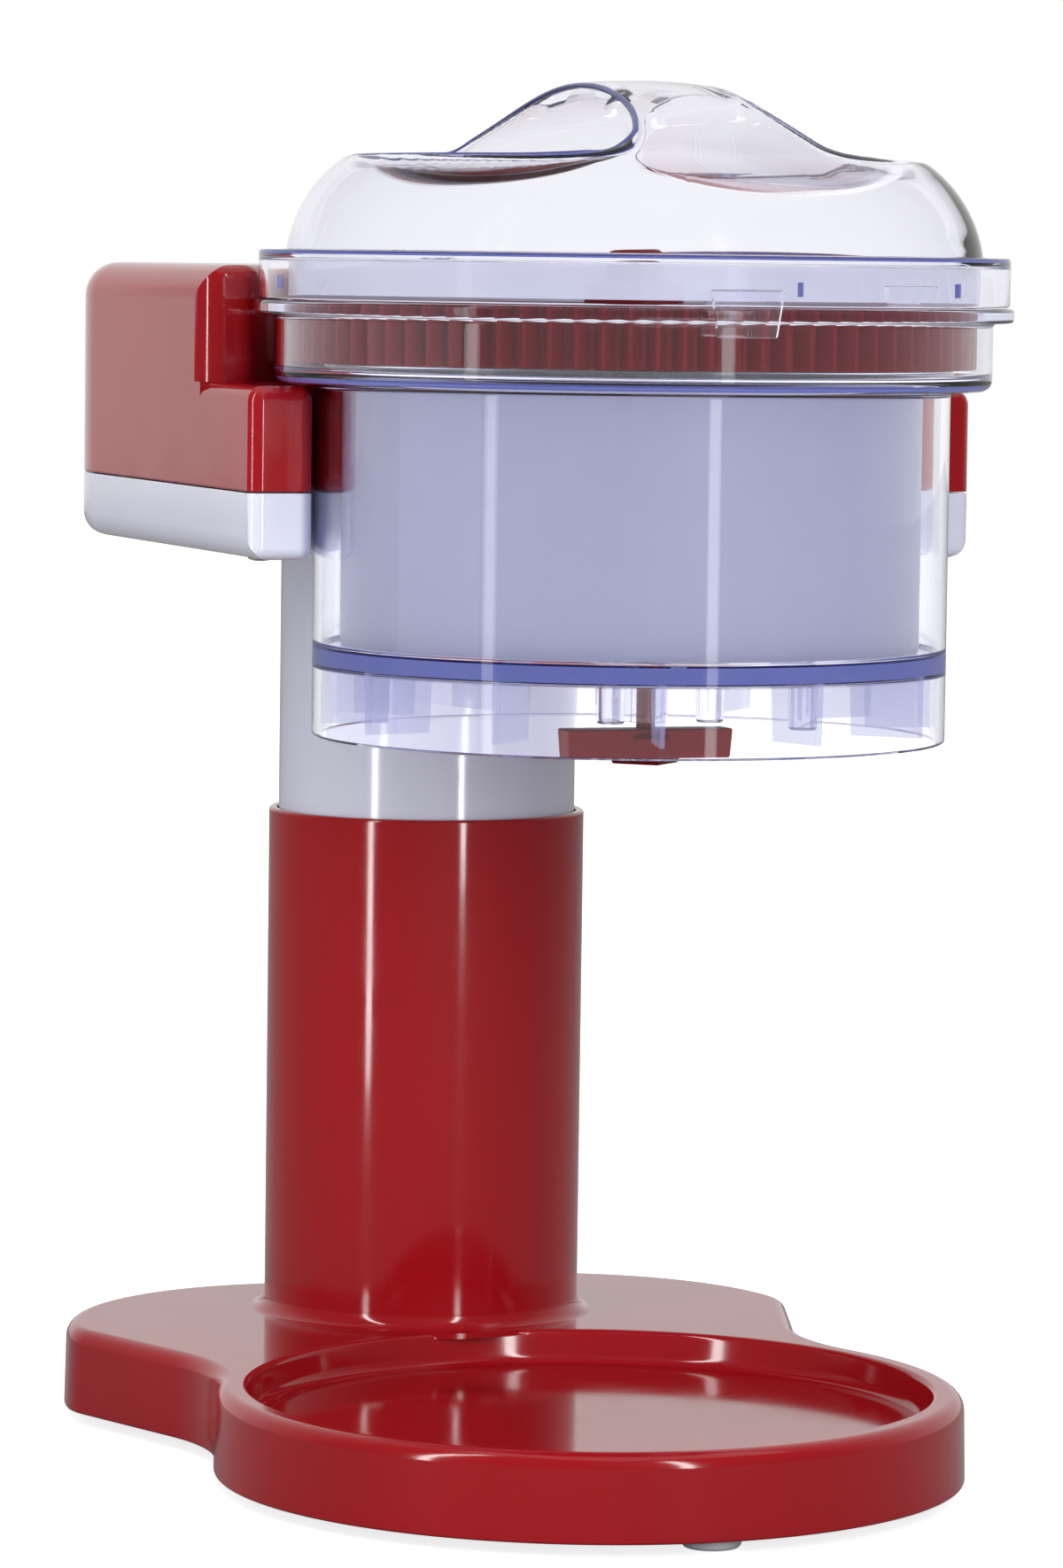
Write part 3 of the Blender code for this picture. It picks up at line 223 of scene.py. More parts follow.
class Nodes:
    """A material's node tree with a few short ways to add to it."""

    def __init__(self, name):
        self.material = bpy.data.materials.new(name)
        self.material.use_nodes = True
        self.tree = self.material.node_tree
        self.shader = self.tree.nodes["Principled BSDF"]
        self.output = self.tree.nodes["Material Output"]
        self.place = self.tree.nodes.new("ShaderNodeTexCoord").outputs["Object"]

    def set(self, **values):
        for name, value in values.items():
            socket = name.replace("_", " ").title().replace("Ior", "IOR")
            self.shader.inputs[socket].default_value = value

    def link(self, source, target):
        self.tree.links.new(source, target)

    def noise(self, scale, detail=3.0, stretch=None):
        """Noise in the piece's own coordinates, stretched along its axes where that is given."""
        node = self.tree.nodes.new("ShaderNodeTexNoise")
        node.inputs["Scale"].default_value = scale
        node.inputs["Detail"].default_value = detail
        place = self.place
        if stretch:
            mapping = self.tree.nodes.new("ShaderNodeMapping")
            mapping.inputs["Scale"].default_value = stretch
            self.link(place, mapping.inputs["Vector"])
            place = mapping.outputs["Vector"]
        self.link(place, node.inputs["Vector"])
        return node.outputs["Fac"]

    def ramp(self, factor, low, high, start=0.3, end=0.7):
        """A colour that runs from low to high as factor goes from start to end."""
        node = self.tree.nodes.new("ShaderNodeValToRGB")
        for element, position, colour in zip(node.color_ramp.elements, (start, end), (low, high)):
            element.position = position
            element.color = (*colour, 1)
        self.link(factor, node.inputs["Fac"])
        return node.outputs["Color"]

    def range(self, factor, low, high):
        return mapped(self.tree, factor, low, high, 0.3, 0.7)

    def bump(self, height, strength, distance):
        node = self.tree.nodes.new("ShaderNodeBump")
        node.inputs["Strength"].default_value = strength
        node.inputs["Distance"].default_value = distance
        self.link(height, node.inputs["Height"])
        self.link(node.outputs["Normal"], self.shader.inputs["Normal"])

    def moulded(self, colour, deeper, roughness, bump=0.15):
        """Moulded plastic: slow drifts of colour and gloss from the mould's flow, and a faint waviness."""
        flow = self.noise(9.0, 2.0, (1.0, 1.0, 0.4))
        self.link(self.ramp(flow, deeper, colour), self.shader.inputs["Base Color"])
        self.link(self.range(self.noise(60.0), *roughness), self.shader.inputs["Roughness"])
        self.bump(self.noise(160.0, 2.0), bump, 0.00006)


def red_plastic(name, colour, deeper, roughness, coat, shine=0.5):
    made = Nodes(name)
    made.moulded(colour, deeper, roughness)
    made.set(ior=1.52, coat_weight=coat, coat_roughness=0.06)
    made.shader.inputs["Specular IOR Level"].default_value = shine
    return made.material


def white_plastic():
    made = Nodes("cool_white_plastic")
    made.moulded((0.66, 0.67, 0.79), (0.61, 0.62, 0.74), (0.10, 0.17))
    made.set(ior=1.50, coat_weight=0.25, coat_roughness=0.08)
    return made.material


def clear_plastic(name, tint, density, ior, roughness=0.015):
    """Clear moulded plastic: it turns blue along its edges, and lamps shine through it on what it holds."""
    made = Nodes(name)
    made.set(ior=ior, transmission_weight=1.0, roughness=roughness)
    made.shader.inputs["Specular IOR Level"].default_value = 0.10
    made.shader.inputs["Base Color"].default_value = (0.97, 0.97, 0.995, 1)
    made.bump(made.noise(55.0, 2.0), 0.12, 0.00008)
    absorption = made.tree.nodes.new("ShaderNodeVolumeAbsorption")
    absorption.inputs["Color"].default_value = (*tint, 1)
    absorption.inputs["Density"].default_value = density
    made.link(absorption.outputs["Volume"], made.output.inputs["Volume"])
    path = made.tree.nodes.new("ShaderNodeLightPath")
    lamps = arithmetic(made.tree, "MAXIMUM", path.outputs["Is Shadow Ray"], path.outputs["Is Diffuse Ray"])
    open_to_lamps = made.tree.nodes.new("ShaderNodeBsdfTransparent")
    open_to_lamps.inputs["Color"].default_value = (0.96, 0.965, 0.99, 1)
    mix = made.tree.nodes.new("ShaderNodeMixShader")
    made.link(lamps, mix.inputs["Fac"])
    made.link(made.shader.outputs["BSDF"], mix.inputs[1])
    made.link(open_to_lamps.outputs["BSDF"], mix.inputs[2])
    made.link(mix.outputs["Shader"], made.output.inputs["Surface"])
    return made.material


def painted_edge_plastic():
    # The plastic's own blue tint deepened into painted edge refraction: an opaque blue line for the deep
    # blue that light bent through the clear plastic's edges shows.
    made = Nodes("painted_edge_refraction_blue")
    made.moulded((0.13, 0.15, 0.46), (0.09, 0.11, 0.38), (0.08, 0.14), 0.05)
    made.set(ior=1.49, alpha=0.82)
    return made.material


def rib_plastic():
    made = Nodes("blue_lit_thin_ribs")
    made.moulded((0.42, 0.45, 0.72), (0.36, 0.39, 0.66), (0.15, 0.25), 0.05)
    made.set(ior=1.49, alpha=0.30)
    return made.material


def milky_plastic():
    made = Nodes("milky_clear_plastic")
    made.moulded((0.80, 0.81, 0.90), (0.74, 0.75, 0.86), (0.20, 0.30), 0.1)
    made.set(ior=1.49, alpha=0.6)
    return made.material


def frosted_plastic():
    made = Nodes("frosted_lilac_plastic")
    flow = made.noise(14.0, 3.0, (1.0, 1.0, 0.25))
    made.link(made.ramp(flow, (0.33, 0.345, 0.47), (0.38, 0.395, 0.53)), made.shader.inputs["Base Color"])
    made.link(made.range(made.noise(220.0), 0.38, 0.52), made.shader.inputs["Roughness"])
    made.bump(made.noise(900.0, 2.0), 0.25, 0.00004)
    made.set(ior=1.49)
    return made.material


def dark_plastic():
    made = Nodes("dark_grained_plastic")
    made.moulded((0.035, 0.035, 0.04), (0.022, 0.022, 0.026), (0.42, 0.55))
    made.bump(made.noise(1400.0, 2.0), 0.5, 0.00005)
    return made.material


def rubber():
    made = Nodes("pale_grey_rubber")
    made.moulded((0.56, 0.56, 0.60), (0.48, 0.48, 0.52), (0.62, 0.78))
    made.bump(made.noise(1100.0, 2.0), 0.4, 0.00005)
    return made.material


def acetal():
    made = Nodes("natural_acetal")
    made.moulded((0.86, 0.84, 0.77), (0.80, 0.78, 0.70), (0.30, 0.42))
    return made.material


def metal(name, colour, deeper, roughness, stretch):
    """Drawn or brushed metal, with its grain running along the short way of the stretch."""
    made = Nodes(name)
    grain = made.noise(420.0, 4.0, stretch)
    made.link(made.ramp(grain, deeper, colour), made.shader.inputs["Base Color"])
    made.link(made.range(grain, *roughness), made.shader.inputs["Roughness"])
    made.bump(grain, 0.2, 0.00003)
    made.set(metallic=1.0)
    return made.material


RED = red_plastic(
    "glossy_red_plastic", (0.32, 0.005, 0.009), (0.26, 0.004, 0.007), (0.08, 0.13), 0.12, 0.35
)
GEAR_RED = red_plastic(
    "satin_red_plastic", (0.20, 0.002, 0.005), (0.15, 0.001, 0.004), (0.34, 0.46), 0.0, 0.08
)
WHITE = white_plastic()
CLEAR = clear_plastic("clear_blue_tinted_plastic", (0.38, 0.41, 0.76), 26.0, 1.49)
# The lid's index is below real plastic's 1.49, which bends what lies behind it more than the photo shows.
CLEAR_LID = clear_plastic("clear_thin_lid_plastic", (0.42, 0.45, 0.76), 14.0, 1.18)
MILKY = milky_plastic()
# Painted edge refraction: the blue line that light bent through clear edges shows, over the plastic's own
# tint.
PAINTED_EDGE_BLUE = painted_edge_plastic()
RIB_BLUE = rib_plastic()
FROSTED = frosted_plastic()
DARK = dark_plastic()
RUBBER = rubber()
ACETAL = acetal()
GRAIN = (1.0, 1.0, 0.05)
STEEL = metal("bright_steel", (0.66, 0.67, 0.69), (0.52, 0.53, 0.55), (0.22, 0.34), GRAIN)
ZINC = metal("zinc_plated_can", (0.48, 0.49, 0.51), (0.38, 0.39, 0.41), (0.34, 0.46), GRAIN)


# Building blocks


def object_of(bm, name, material=None, at=(0, 0), z=0.0):
    """A smooth-shaded object of this mesh, placed at a plan position measured from the hopper's axis."""
    bmesh.ops.remove_doubles(bm, verts=bm.verts, dist=1e-7)
    bmesh.ops.recalc_face_normals(bm, faces=bm.faces)
    mesh = bpy.data.meshes.new(name)
    bm.to_mesh(mesh)
    bm.free()
    if material:
        mesh.materials.append(material)
    obj = bpy.data.objects.new(name, mesh)
    obj.location = (at[0], HOPPER_Y + at[1], z)
    bpy.context.scene.collection.objects.link(obj)
    return obj


def add_turned(bm, profile, steps=ROUND_STEPS, centre=(0, 0)):
    """Adds a solid of revolution: profile is a closed list of (radius, height)."""
    turns = [2 * math.pi * i / steps for i in range(steps)]
    rings = []
    for radius, height in profile:
        angles = turns if radius > 1e-6 else turns[:1]
        x, y = centre
        spots = [(x + radius * math.cos(a), y + radius * math.sin(a), height) for a in angles]
        rings.append([bm.verts.new(spot) for spot in spots])
    for ring, following in zip(rings, rings[1:] + rings[:1]):
        for i in range(steps):
            corners = [ring[i % len(ring)], ring[(i + 1) % len(ring)]]
            corners += [following[(i + 1) % len(following)], following[i % len(following)]]
            corners = list(dict.fromkeys(corners))
            if len(corners) > 2:
                bm.faces.new(corners)


def turned(name, profile, material=None, steps=ROUND_STEPS, at=(0, 0)):
    bm = bmesh.new()
    add_turned(bm, profile, steps)
    return object_of(bm, name, material, at)


def join_rings(bm, rings):
    """Joins each ring of vertices to the next with four-sided faces."""
    for ring, following in zip(rings, rings[1:]):
        for i in range(len(ring)):
            j = (i + 1) % len(ring)
            bm.faces.new((ring[i], ring[j], following[j], following[i]))


def add_lofted(bm, levels):
    """Adds a solid through outlines with equal numbers of points: levels is a list of (points, height)."""
    rings = [[bm.verts.new((x, y, height)) for x, y in points] for points, height in levels]
    join_rings(bm, rings)
    bm.faces.new(rings[0][::-1])
    bm.faces.new(rings[-1])


def lofted(name, levels, material=None, at=(0, 0)):
    bm = bmesh.new()
    add_lofted(bm, levels)
    return object_of(bm, name, material, at)


def rectangle(x0, y0, x1, y1):
    return [(x0, y0), (x1, y0), (x1, y1), (x0, y1)]


def turned_rectangle(angle, x0, y0, x1, y1):
    """A rectangle's corners, turned about the hopper's axis."""
    turn = Matrix.Rotation(angle, 3, "Z")
    corners = [turn @ Vector((x, y, 0)) for x, y in rectangle(x0, y0, x1, y1)]
    return [(corner.x, corner.y) for corner in corners]


def round_section(x, z, radius):
    """A small circle in a turned piece's outline."""
    return [(x + radius * math.cos(a), z + radius * math.sin(a)) for a in spread(0, 2 * math.pi, 10)]


def right_angle(steps):
    """The angles from 0 to 90 degrees in equal steps."""
    return [math.pi / 2 * i / steps for i in range(steps + 1)]


def rod_profile(radius, bottom, top):
    return [(0, bottom), (radius, bottom), (radius, top), (0, top)]


def tube_profile(radius, wall, bottom, top, rounding):
    inner = radius - wall
    return rounded_profile([(radius, bottom), (radius, top), (inner, top), (inner, bottom)], rounding)


def rounded_profile(points, radius, steps=4):
    """A closed (radius, height) profile with its corners rounded, except those on the axis."""
    rounded = []
    for i, point in enumerate(points):
        here = Vector(point)
        before = Vector(points[i - 1]) - here
        after = Vector(points[(i + 1) % len(points)]) - here
        reach = min(radius, before.length * 0.45, after.length * 0.45)
        if here.x < 1e-6 or reach < 1e-6:
            rounded.append(tuple(here))
            continue
        start, end = here + before.normalized() * reach, here + after.normalized() * reach
        for k in range(steps + 1):
            t = k / steps
            rounded.append(tuple(start * (1 - t) ** 2 + here * (2 * t * (1 - t)) + end * t**2))
    return rounded


def combine(target, others, operation):
    """Applies a Boolean with each of the others, and removes them."""
    for other in others:
        modifier = target.modifiers.new("Boolean", "BOOLEAN")
        modifier.operation = operation
        modifier.object = other
    bpy.context.view_layer.update()
    mesh = bpy.data.meshes.new_from_object(target.evaluated_get(bpy.context.evaluated_depsgraph_get()))
    target.modifiers.clear()
    target.data = mesh
    for other in others:
        bpy.data.objects.remove(other, do_unlink=True)
    return target


def cut(target, *cutters):
    return combine(target, cutters, "DIFFERENCE")


def join(target, *others):
    return combine(target, others, "UNION")


def bevelled(obj, width, segments=2, angle=40):
    """Rounds the sharp edges of a plain-faced piece."""
    modifier = obj.modifiers.new("Bevel", "BEVEL")
    modifier.width = width
    modifier.segments = segments
    modifier.limit_method = "ANGLE"
    modifier.angle_limit = math.radians(angle)
    modifier.harden_normals = False
    return combine(obj, (), "UNION")


def trimmed(obj, body, sharp=35):
    """Shades a piece, with its large flat faces kept flat, and ties it to its body."""
    obj.data.shade_smooth()
    obj.data.set_sharp_from_angle(angle=math.radians(sharp))
    modifier = obj.modifiers.new("Weighted normals", "WEIGHTED_NORMAL")
    modifier.keep_sharp = True
    combine(obj, (), "UNION")
    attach(obj, body)
    return obj


def finished(obj, body, slot, *replaced, sharp=35):
    """Shades and ties a piece that stands for CAD nodes."""
    trimmed(obj, body, sharp)
    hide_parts(*replaced)
    return obj


def arc_points(centre, radius, start, end, count):
    angles = [start + (end - start) * i / (count - 1) for i in range(count)]
    return [(centre[0] + radius * math.cos(a), centre[1] + radius * math.sin(a)) for a in angles]


def outline_of(arcs, inset=0.0):
    """Points round an outline of (centre, radius, start, end, count) arcs, drawn in by inset.

    An arc that runs clockwise is hollow, so its radius grows. One that runs the other way shrinks to a
    corner, which then moves in along the line that halves it.
    """
    smallest = 0.0004
    points = []
    for centre, radius, start, end, count in arcs:
        if end < start:
            points += arc_points(centre, radius + inset, start, end, count)
            continue
        shrunk = max(radius - inset, smallest)
        shift = (shrunk - radius + inset) / math.cos((end - start) / 2)
        middle = (start + end) / 2
        moved = (centre[0] - shift * math.cos(middle), centre[1] - shift * math.sin(middle))
        points += arc_points(moved, shrunk, start, end, count)
    return points


def both_sides(arcs):
    """The arcs of the right half, from front to rear, followed by those of the left half."""
    mirrored = [
        ((-centre[0], centre[1]), radius, math.pi - end, math.pi - start, count)
        for centre, radius, start, end, count in reversed(arcs)
    ]
    return arcs + mirrored


def filleted_levels(
    arcs, bottom, top, fillet, at_top=True, steps=8, inset=0.0, draft=0.0, foot=SEAM_BEVEL
):
    """Levels of an upright wall with a large rounded edge and a small one, drawn in by draft at the top."""

    def edge(size, outwards):
        """(drawn in, distance from the face) round a quarter circle, from the wall to the face or back."""
        turn = [(size * (1 - math.cos(a)), size * (1 - math.sin(a))) for a in right_angle(steps)]
        return turn if outwards else turn[::-1]

    large, small = (fillet, foot) if at_top else (foot, fillet)
    levels = [(outline_of(arcs, inset + drawn), bottom + depth) for drawn, depth in edge(small, False)]
    levels += [(outline_of(arcs, inset + draft + drawn), top - depth) for drawn, depth in edge(large, True)]
    return levels


# Base


def base_arcs():
    """The base's plan: a tray lobe, a hollow waist, a flank that widens to the hip, and a rear lobe."""
    reach = REAR_LOBE_RADIUS - HIP_RADIUS
    hip = Vector(REAR_LOBE) + reach * Vector((math.cos(HIP_ANGLE), math.sin(HIP_ANGLE)))
    normal = Vector((math.cos(FLANK_ANGLE), -math.sin(FLANK_ANGLE)))
    along = Vector((-math.sin(FLANK_ANGLE), -math.cos(FLANK_ANGLE)))
    tray = Vector((0, TRAY_Y))
    foot = hip + (HIP_RADIUS + WAIST_RADIUS) * normal
    # The waist's centre lies on a line beside the flank, at the two radii's sum from the tray's centre.
    offset = foot - tray
    span = TRAY_LOBE_RADIUS + WAIST_RADIUS
    travel = -offset.dot(along) - math.sqrt(offset.dot(along) ** 2 - offset.length_squared + span**2)
    waist = foot + travel * along
    to_tray = math.atan2(tray.y - waist.y, tray.x - waist.x)
    return both_sides(
        [
            (tuple(tray), TRAY_LOBE_RADIUS, -math.pi / 2, to_tray + math.pi, 60),
            (tuple(waist), WAIST_RADIUS, to_tray + 2 * math.pi, math.pi - FLANK_ANGLE, 20),
            (tuple(hip), HIP_RADIUS, -FLANK_ANGLE, HIP_ANGLE, 14),
            (REAR_LOBE, REAR_LOBE_RADIUS, HIP_ANGLE, math.pi / 2, 36),
        ]
    )


def make_base():
    levels = filleted_levels(base_arcs(), BASE_BOTTOM, BASE_TOP, BASE_FILLET, draft=BASE_DRAFT, foot=0.0008)
    housing = lofted("base_body", levels, RED)
    ceiling = BASE_TOP - BASE_WALL
    inner = outline_of(base_arcs(), BASE_WALL)
    cavity = lofted("base_cavity", [(inner, 0), (inner, ceiling)])
    pan = rod_profile(TRAY_RADIUS + BASE_WALL, TRAY_FLOOR - BASE_WALL, 0.035)
    cut(cavity, turned("tray_pan", pan, at=(0, TRAY_Y)))
    lip = 0.0016
    wall_top = [
        (TRAY_RADIUS + lip * (1 - math.cos(a)), BASE_TOP - lip * (1 - math.sin(a)) + 0.00002)
        for a in right_angle(6)
    ]
    foot = 0.0030
    wall_foot = [
        (TRAY_RADIUS - 0.0006 - foot * (1 - math.sin(a)), TRAY_FLOOR + foot * (1 - math.cos(a)))
        for a in right_angle(6)
    ]
    profile = [(0, TRAY_FLOOR)] + wall_foot + wall_top + [(TRAY_RADIUS + lip, 0.04), (0, 0.04)]
    recess = turned("tray_recess", profile, at=(0, TRAY_Y))
    deck_hole = turned("deck_hole", rod_profile(SLEEVE_BORE + 0.001, 0, 0.04), at=(0, COLUMN_Y))
    flare = 0.0042
    skirt = [
        (SLEEVE_RADIUS + flare * (1 - math.sin(a)), BASE_TOP + flare * (1 - math.cos(a)))
        for a in right_angle(8)
    ]
    lip_radius = 0.0008
    mouth = [
        (SLEEVE_RADIUS - lip_radius * (1 - math.cos(a)), SLEEVE_TOP - lip_radius * (1 - math.sin(a)))
        for a in right_angle(4)
    ]
    sleeve_profile = [(SLEEVE_RADIUS + flare, BASE_TOP - 0.0015)] + skirt + mouth
    sleeve_profile += [
        (SLEEVE_BORE + 0.0003, SLEEVE_TOP),
        (SLEEVE_BORE, SLEEVE_TOP - 0.0003),
        (SLEEVE_BORE, SLEEVE_LEDGE),
        (SLEEVE_BORE - 0.004, SLEEVE_LEDGE),
        (SLEEVE_BORE - 0.004, SLEEVE_LEDGE - 0.002),
        (SLEEVE_BORE, SLEEVE_LEDGE - 0.006),
        (SLEEVE_BORE, BASE_TOP - 0.0015),
    ]
    sleeve = turned("column_sleeve", sleeve_profile, at=(0, COLUMN_Y))
    cut(housing, cavity, recess, deck_hole)
    join(housing, sleeve)
    return finished(housing, "base", "red_gloss", "base_housing", sharp=30)


def make_base_plate():
    """The plate under the base, with a rolled edge, a rim round each foot and rows of vents."""
    low, high = bottom_of("base_plate"), top_of("base_plate")
    inset = BASE_WALL + GAP
    levels = filleted_levels(base_arcs(), low, high, 0.0004, False, 3, inset)
    plate = lofted("base_underside", levels, DARK)
    holes = bmesh.new()
    for index in range(1, 5):
        head_hole = rod_profile(0.0036, 0, low + 0.0014)
        add_turned(holes, head_hole, SMALL_STEPS, plan_of(f"base_screw_{index}"))
    for node in FEET:
        add_turned(holes, rod_profile(0.0031, 0, 0.01), SMALL_STEPS, plan_of(node))
    cut(plate, object_of(holes, "plate_holes"))
    slots = bmesh.new()
    for row in range(7):
        y = 0.128 + 0.006 * row
        slot = rectangle(-0.020, y, 0.020, y + 0.0022)
        add_lofted(slots, [(slot, 0), (slot, 0.01)])
    cut(plate, object_of(slots, "vent_slots"))
    return finished(plate, "base", "dark_plastic", "base_plate")


FEET = ("foot_front", "foot_mid_left", "foot_mid_right", "foot_rear_left", "foot_rear_right")


def make_feet():
    for node in FEET:
        low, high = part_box(node)
        radius = (high.x - low.x) / 2
        outline = [
            (0, 0.0006),
            (radius - 0.0024, 0.0006),
            (radius - 0.0018, 0),
            (radius - 0.0008, 0),
            (radius, 0.0009),
            (radius, BASE_BOTTOM),
            (0.003, BASE_BOTTOM),
            (0.003, high.z),
            (0, high.z),
        ]
        profile = rounded_profile(outline, 0.0004)
        foot = turned(f"{node}_pad", profile, RUBBER, SMALL_STEPS, plan_of(node))
        finished(foot, "base", "foot_rubber", node)


def make_screw(node, body, upside_down=False):
    """A pan-head screw with a cross recess. Its head is at its lower end unless it's upside_down."""
    low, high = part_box(node)
    centre = (low + high) / 2
    head_radius = (high.x - low.x) / 2
    length = high.z - low.z
    head = 0.0018
    dome = [
        (head_radius * math.sin(a), head * 0.55 * (1 - math.cos(a)))
        for a in right_angle(6)
    ]
    thread = []
    pitch = 0.0009
    crest, root = 0.0016, 0.00125
    turns = int((length - head - 0.0012) / pitch)
    for i in range(turns):
        thread += [(root, head + pitch * i), (crest, head + pitch * (i + 0.5))]
    tip = [(root, head + pitch * turns), (0.0004, length), (0, length)]
    profile = dome + [(head_radius, head)] + thread + tip
    screw = turned(f"{node}_cross_head", profile, STEEL, 32)
    arm, half = 0.0018, 0.00036
    for plan in (rectangle(-arm, -half, arm, half), rectangle(-half, -arm, half, arm)):
        cut(screw, lofted("cross_recess", [(plan, -0.001), (plan, 0.0011)]))
    if upside_down:
        screw.data.transform(Matrix.Rotation(math.pi, 4, "X"))
    screw.location = (centre.x, centre.y, high.z if upside_down else low.z)
    finished(screw, body, "steel", node)


# Head


def block_arcs():
    """The plan of the head before it is hollowed in front: straight sides and rounded rear corners."""
    corner = (HEAD_HALF_WIDTH - HEAD_CORNER, HEAD_REAR - HEAD_CORNER)
    return both_sides(
        [
            ((HEAD_HALF_WIDTH - 0.001, -0.030), 0.001, -math.pi / 2, 0, 2),
            (corner, HEAD_CORNER, 0, math.pi / 2, 28),
        ]
    )


def front_cutter_arcs(front, hollow_radius, edge):
    """The plan of what is cut away in front: up to a flat face, and round the hopper's axis behind that.

    Its two small hollow arcs round the upright edges at both ends of the flat face.
    """
    beyond = 0.0004
    inner_y = front + edge
    inner_x = math.sqrt((hollow_radius + edge) ** 2 - inner_y**2)
    lean = math.atan2(inner_y, inner_x)
    return both_sides(
        [
            ((0.140, -0.140), 0.001, -math.pi / 2, 0, 2),
            ((0.140, inner_y - 0.001), 0.001, 0, math.pi / 2, 2),
            ((HEAD_HALF_WIDTH - edge + beyond, inner_y), edge, 0, -math.pi / 2, 10),
            ((inner_x, inner_y), edge, -math.pi / 2, lean - math.pi, 10),
            ((0, 0), hollow_radius, lean, math.pi / 2, 40),
        ]
    )


def front_cutter(
    name, front, hollow_radius, bottom, top, grown=0.0, low_flare=0.0, flare=0.0, edge=HEAD_EDGE
):
    """Cuts the front away between two heights, and widens at its ends to round the edges there."""
    arcs = front_cutter_arcs(front, hollow_radius, edge)
    levels = []
    angles = right_angle(6)
    if low_flare:
        levels.append((outline_of(arcs, -grown - low_flare), bottom - 0.01))
        for angle in reversed(angles):
            drawn = grown + low_flare * (1 - math.cos(angle))
            levels.append((outline_of(arcs, -drawn), bottom + low_flare * (1 - math.sin(angle))))
    else:
        levels.append((outline_of(arcs, -grown), bottom - grown))
    if flare:
        for angle in angles:
            drawn = grown + flare * (1 - math.cos(angle))
            levels.append((outline_of(arcs, -drawn), top - flare * (1 - math.sin(angle))))
    levels.append((levels[-1][0], top + 0.01))
    return lofted(name, levels)


def make_lower_shell():
    levels = filleted_levels(block_arcs(), HEAD_BOTTOM, HEAD_SEAM - GAP, SHELL_FILLET, False)
    shell = lofted("head_lower_half", levels, WHITE)
    top = HEAD_SEAM - GAP
    cradle = front_cutter(
        "shell_cradle", ARM_FRONT, CRADLE_RADIUS, HEAD_BOTTOM, top, low_flare=0.0030, flare=SEAM_BEVEL
    )
    cut(shell, cradle)
    cavity_levels = filleted_levels(
        block_arcs(), HEAD_BOTTOM + HEAD_WALL, HEAD_SEAM + 0.01, SHELL_FILLET - HEAD_WALL, False, 6,
        HEAD_WALL,
    )
    cavity = lofted("shell_cavity", cavity_levels)
    cut(cavity, front_cutter("cavity_cradle", ARM_FRONT, CRADLE_RADIUS, 0.20, 0.30, HEAD_WALL + 0.0005))
    holes = bmesh.new()
    tube_radius = half_width_of("column_tube")
    add_turned(holes, rod_profile(tube_radius + GAP, 0.20, HEAD_SEAM), ROUND_STEPS, (0, COLUMN_Y))
    for spot in HEAD_SCREWS:
        step = HEAD_BOTTOM + 0.0012
        add_turned(holes, [(0, 0.23), (0.0036, 0.23), (0.0036, step), (0, step)], SMALL_STEPS, spot)
    gland_hole = bmesh.new()
    add_turned(gland_hole, rod_profile(0.0043, -0.02, 0.02), SMALL_STEPS)
    gland_cutter = object_of(gland_hole, "gland_hole", at=(GLAND.x, HEAD_REAR), z=GLAND.z)
    gland_cutter.rotation_euler = (math.pi / 2, 0, 0)
    cut(shell, cavity, object_of(holes, "shell_holes"), gland_cutter)
    return finished(shell, "head", "white_gloss", "head_lower_shell", sharp=30)


def make_upper_cover():
    """The gear case and the tops of both arms: one shell, stepped down in front."""
    levels = filleted_levels(block_arcs(), HEAD_SEAM, CASE_TOP, CASE_FILLET, True, 10)
    cover = lofted("head_upper_half", levels, RED)
    step = front_cutter(
        "case_step", CASE_FRONT, CASE_RECESS_RADIUS, ARM_TOP, CASE_TOP, flare=0.0036, edge=0.0075
    )
    cut(cover, step)
    # The arms' tops are rounded towards their sides and towards the cradle.
    arm_block = lofted("arm_block", filleted_levels(block_arcs(), 0.24, ARM_TOP, HEAD_EDGE, True, 8))
    cradle = front_cutter(
        "cover_cradle", ARM_FRONT, CRADLE_RADIUS, HEAD_SEAM, ARM_TOP, low_flare=SEAM_BEVEL, flare=HEAD_EDGE
    )
    arms_plan = rectangle(-0.12, -0.06, 0.12, CASE_FRONT)
    rounding = lofted("arm_rounding", [(arms_plan, ARM_TOP - 0.0039), (arms_plan, ARM_TOP + 0.01)])
    cut(rounding, arm_block)
    cut(cover, rounding, cradle)
    cavity_levels = filleted_levels(
        block_arcs(), HEAD_SEAM - 0.01, CASE_TOP - HEAD_WALL, CASE_FILLET - HEAD_WALL, True, 6, HEAD_WALL
    )
    cavity = lofted("cover_cavity", cavity_levels)
    cut(cavity, front_cutter("step_core", CASE_FRONT, CASE_RECESS_RADIUS, ARM_TOP, CASE_TOP, HEAD_WALL))
    cut(cavity, front_cutter("cradle_core", ARM_FRONT, CRADLE_RADIUS, 0.20, 0.40, HEAD_WALL + 0.0005))
    window_plan = rectangle(-0.0185, PINION_Y - 0.018, 0.0185, PINION_Y + 0.010)
    window = lofted("pinion_window", [(window_plan, 0.2845), (window_plan, 0.3010)])
    half_width, half_height = 0.0105, 0.0075
    hole = rectangle(-half_width, HEAD_REAR - 0.012, half_width, HEAD_REAR + 0.01)
    switch_hole = lofted("switch_hole", [(hole, SWITCH_Z - half_height), (hole, SWITCH_Z + half_height)])
    cut(cover, cavity, window, switch_hole)
    return finished(cover, "head", "red_gloss", "head_upper_cover", sharp=30)


def make_column():
    low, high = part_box("column_tube")
    radius = (high.x - low.x) / 2
    profile = tube_profile(radius, 0.0029, low.z, high.z, 0.0006)
    tube = turned("column_inner_tube", profile, WHITE, at=(0, COLUMN_Y))
    return finished(tube, "head", "white_gloss", "column_tube")


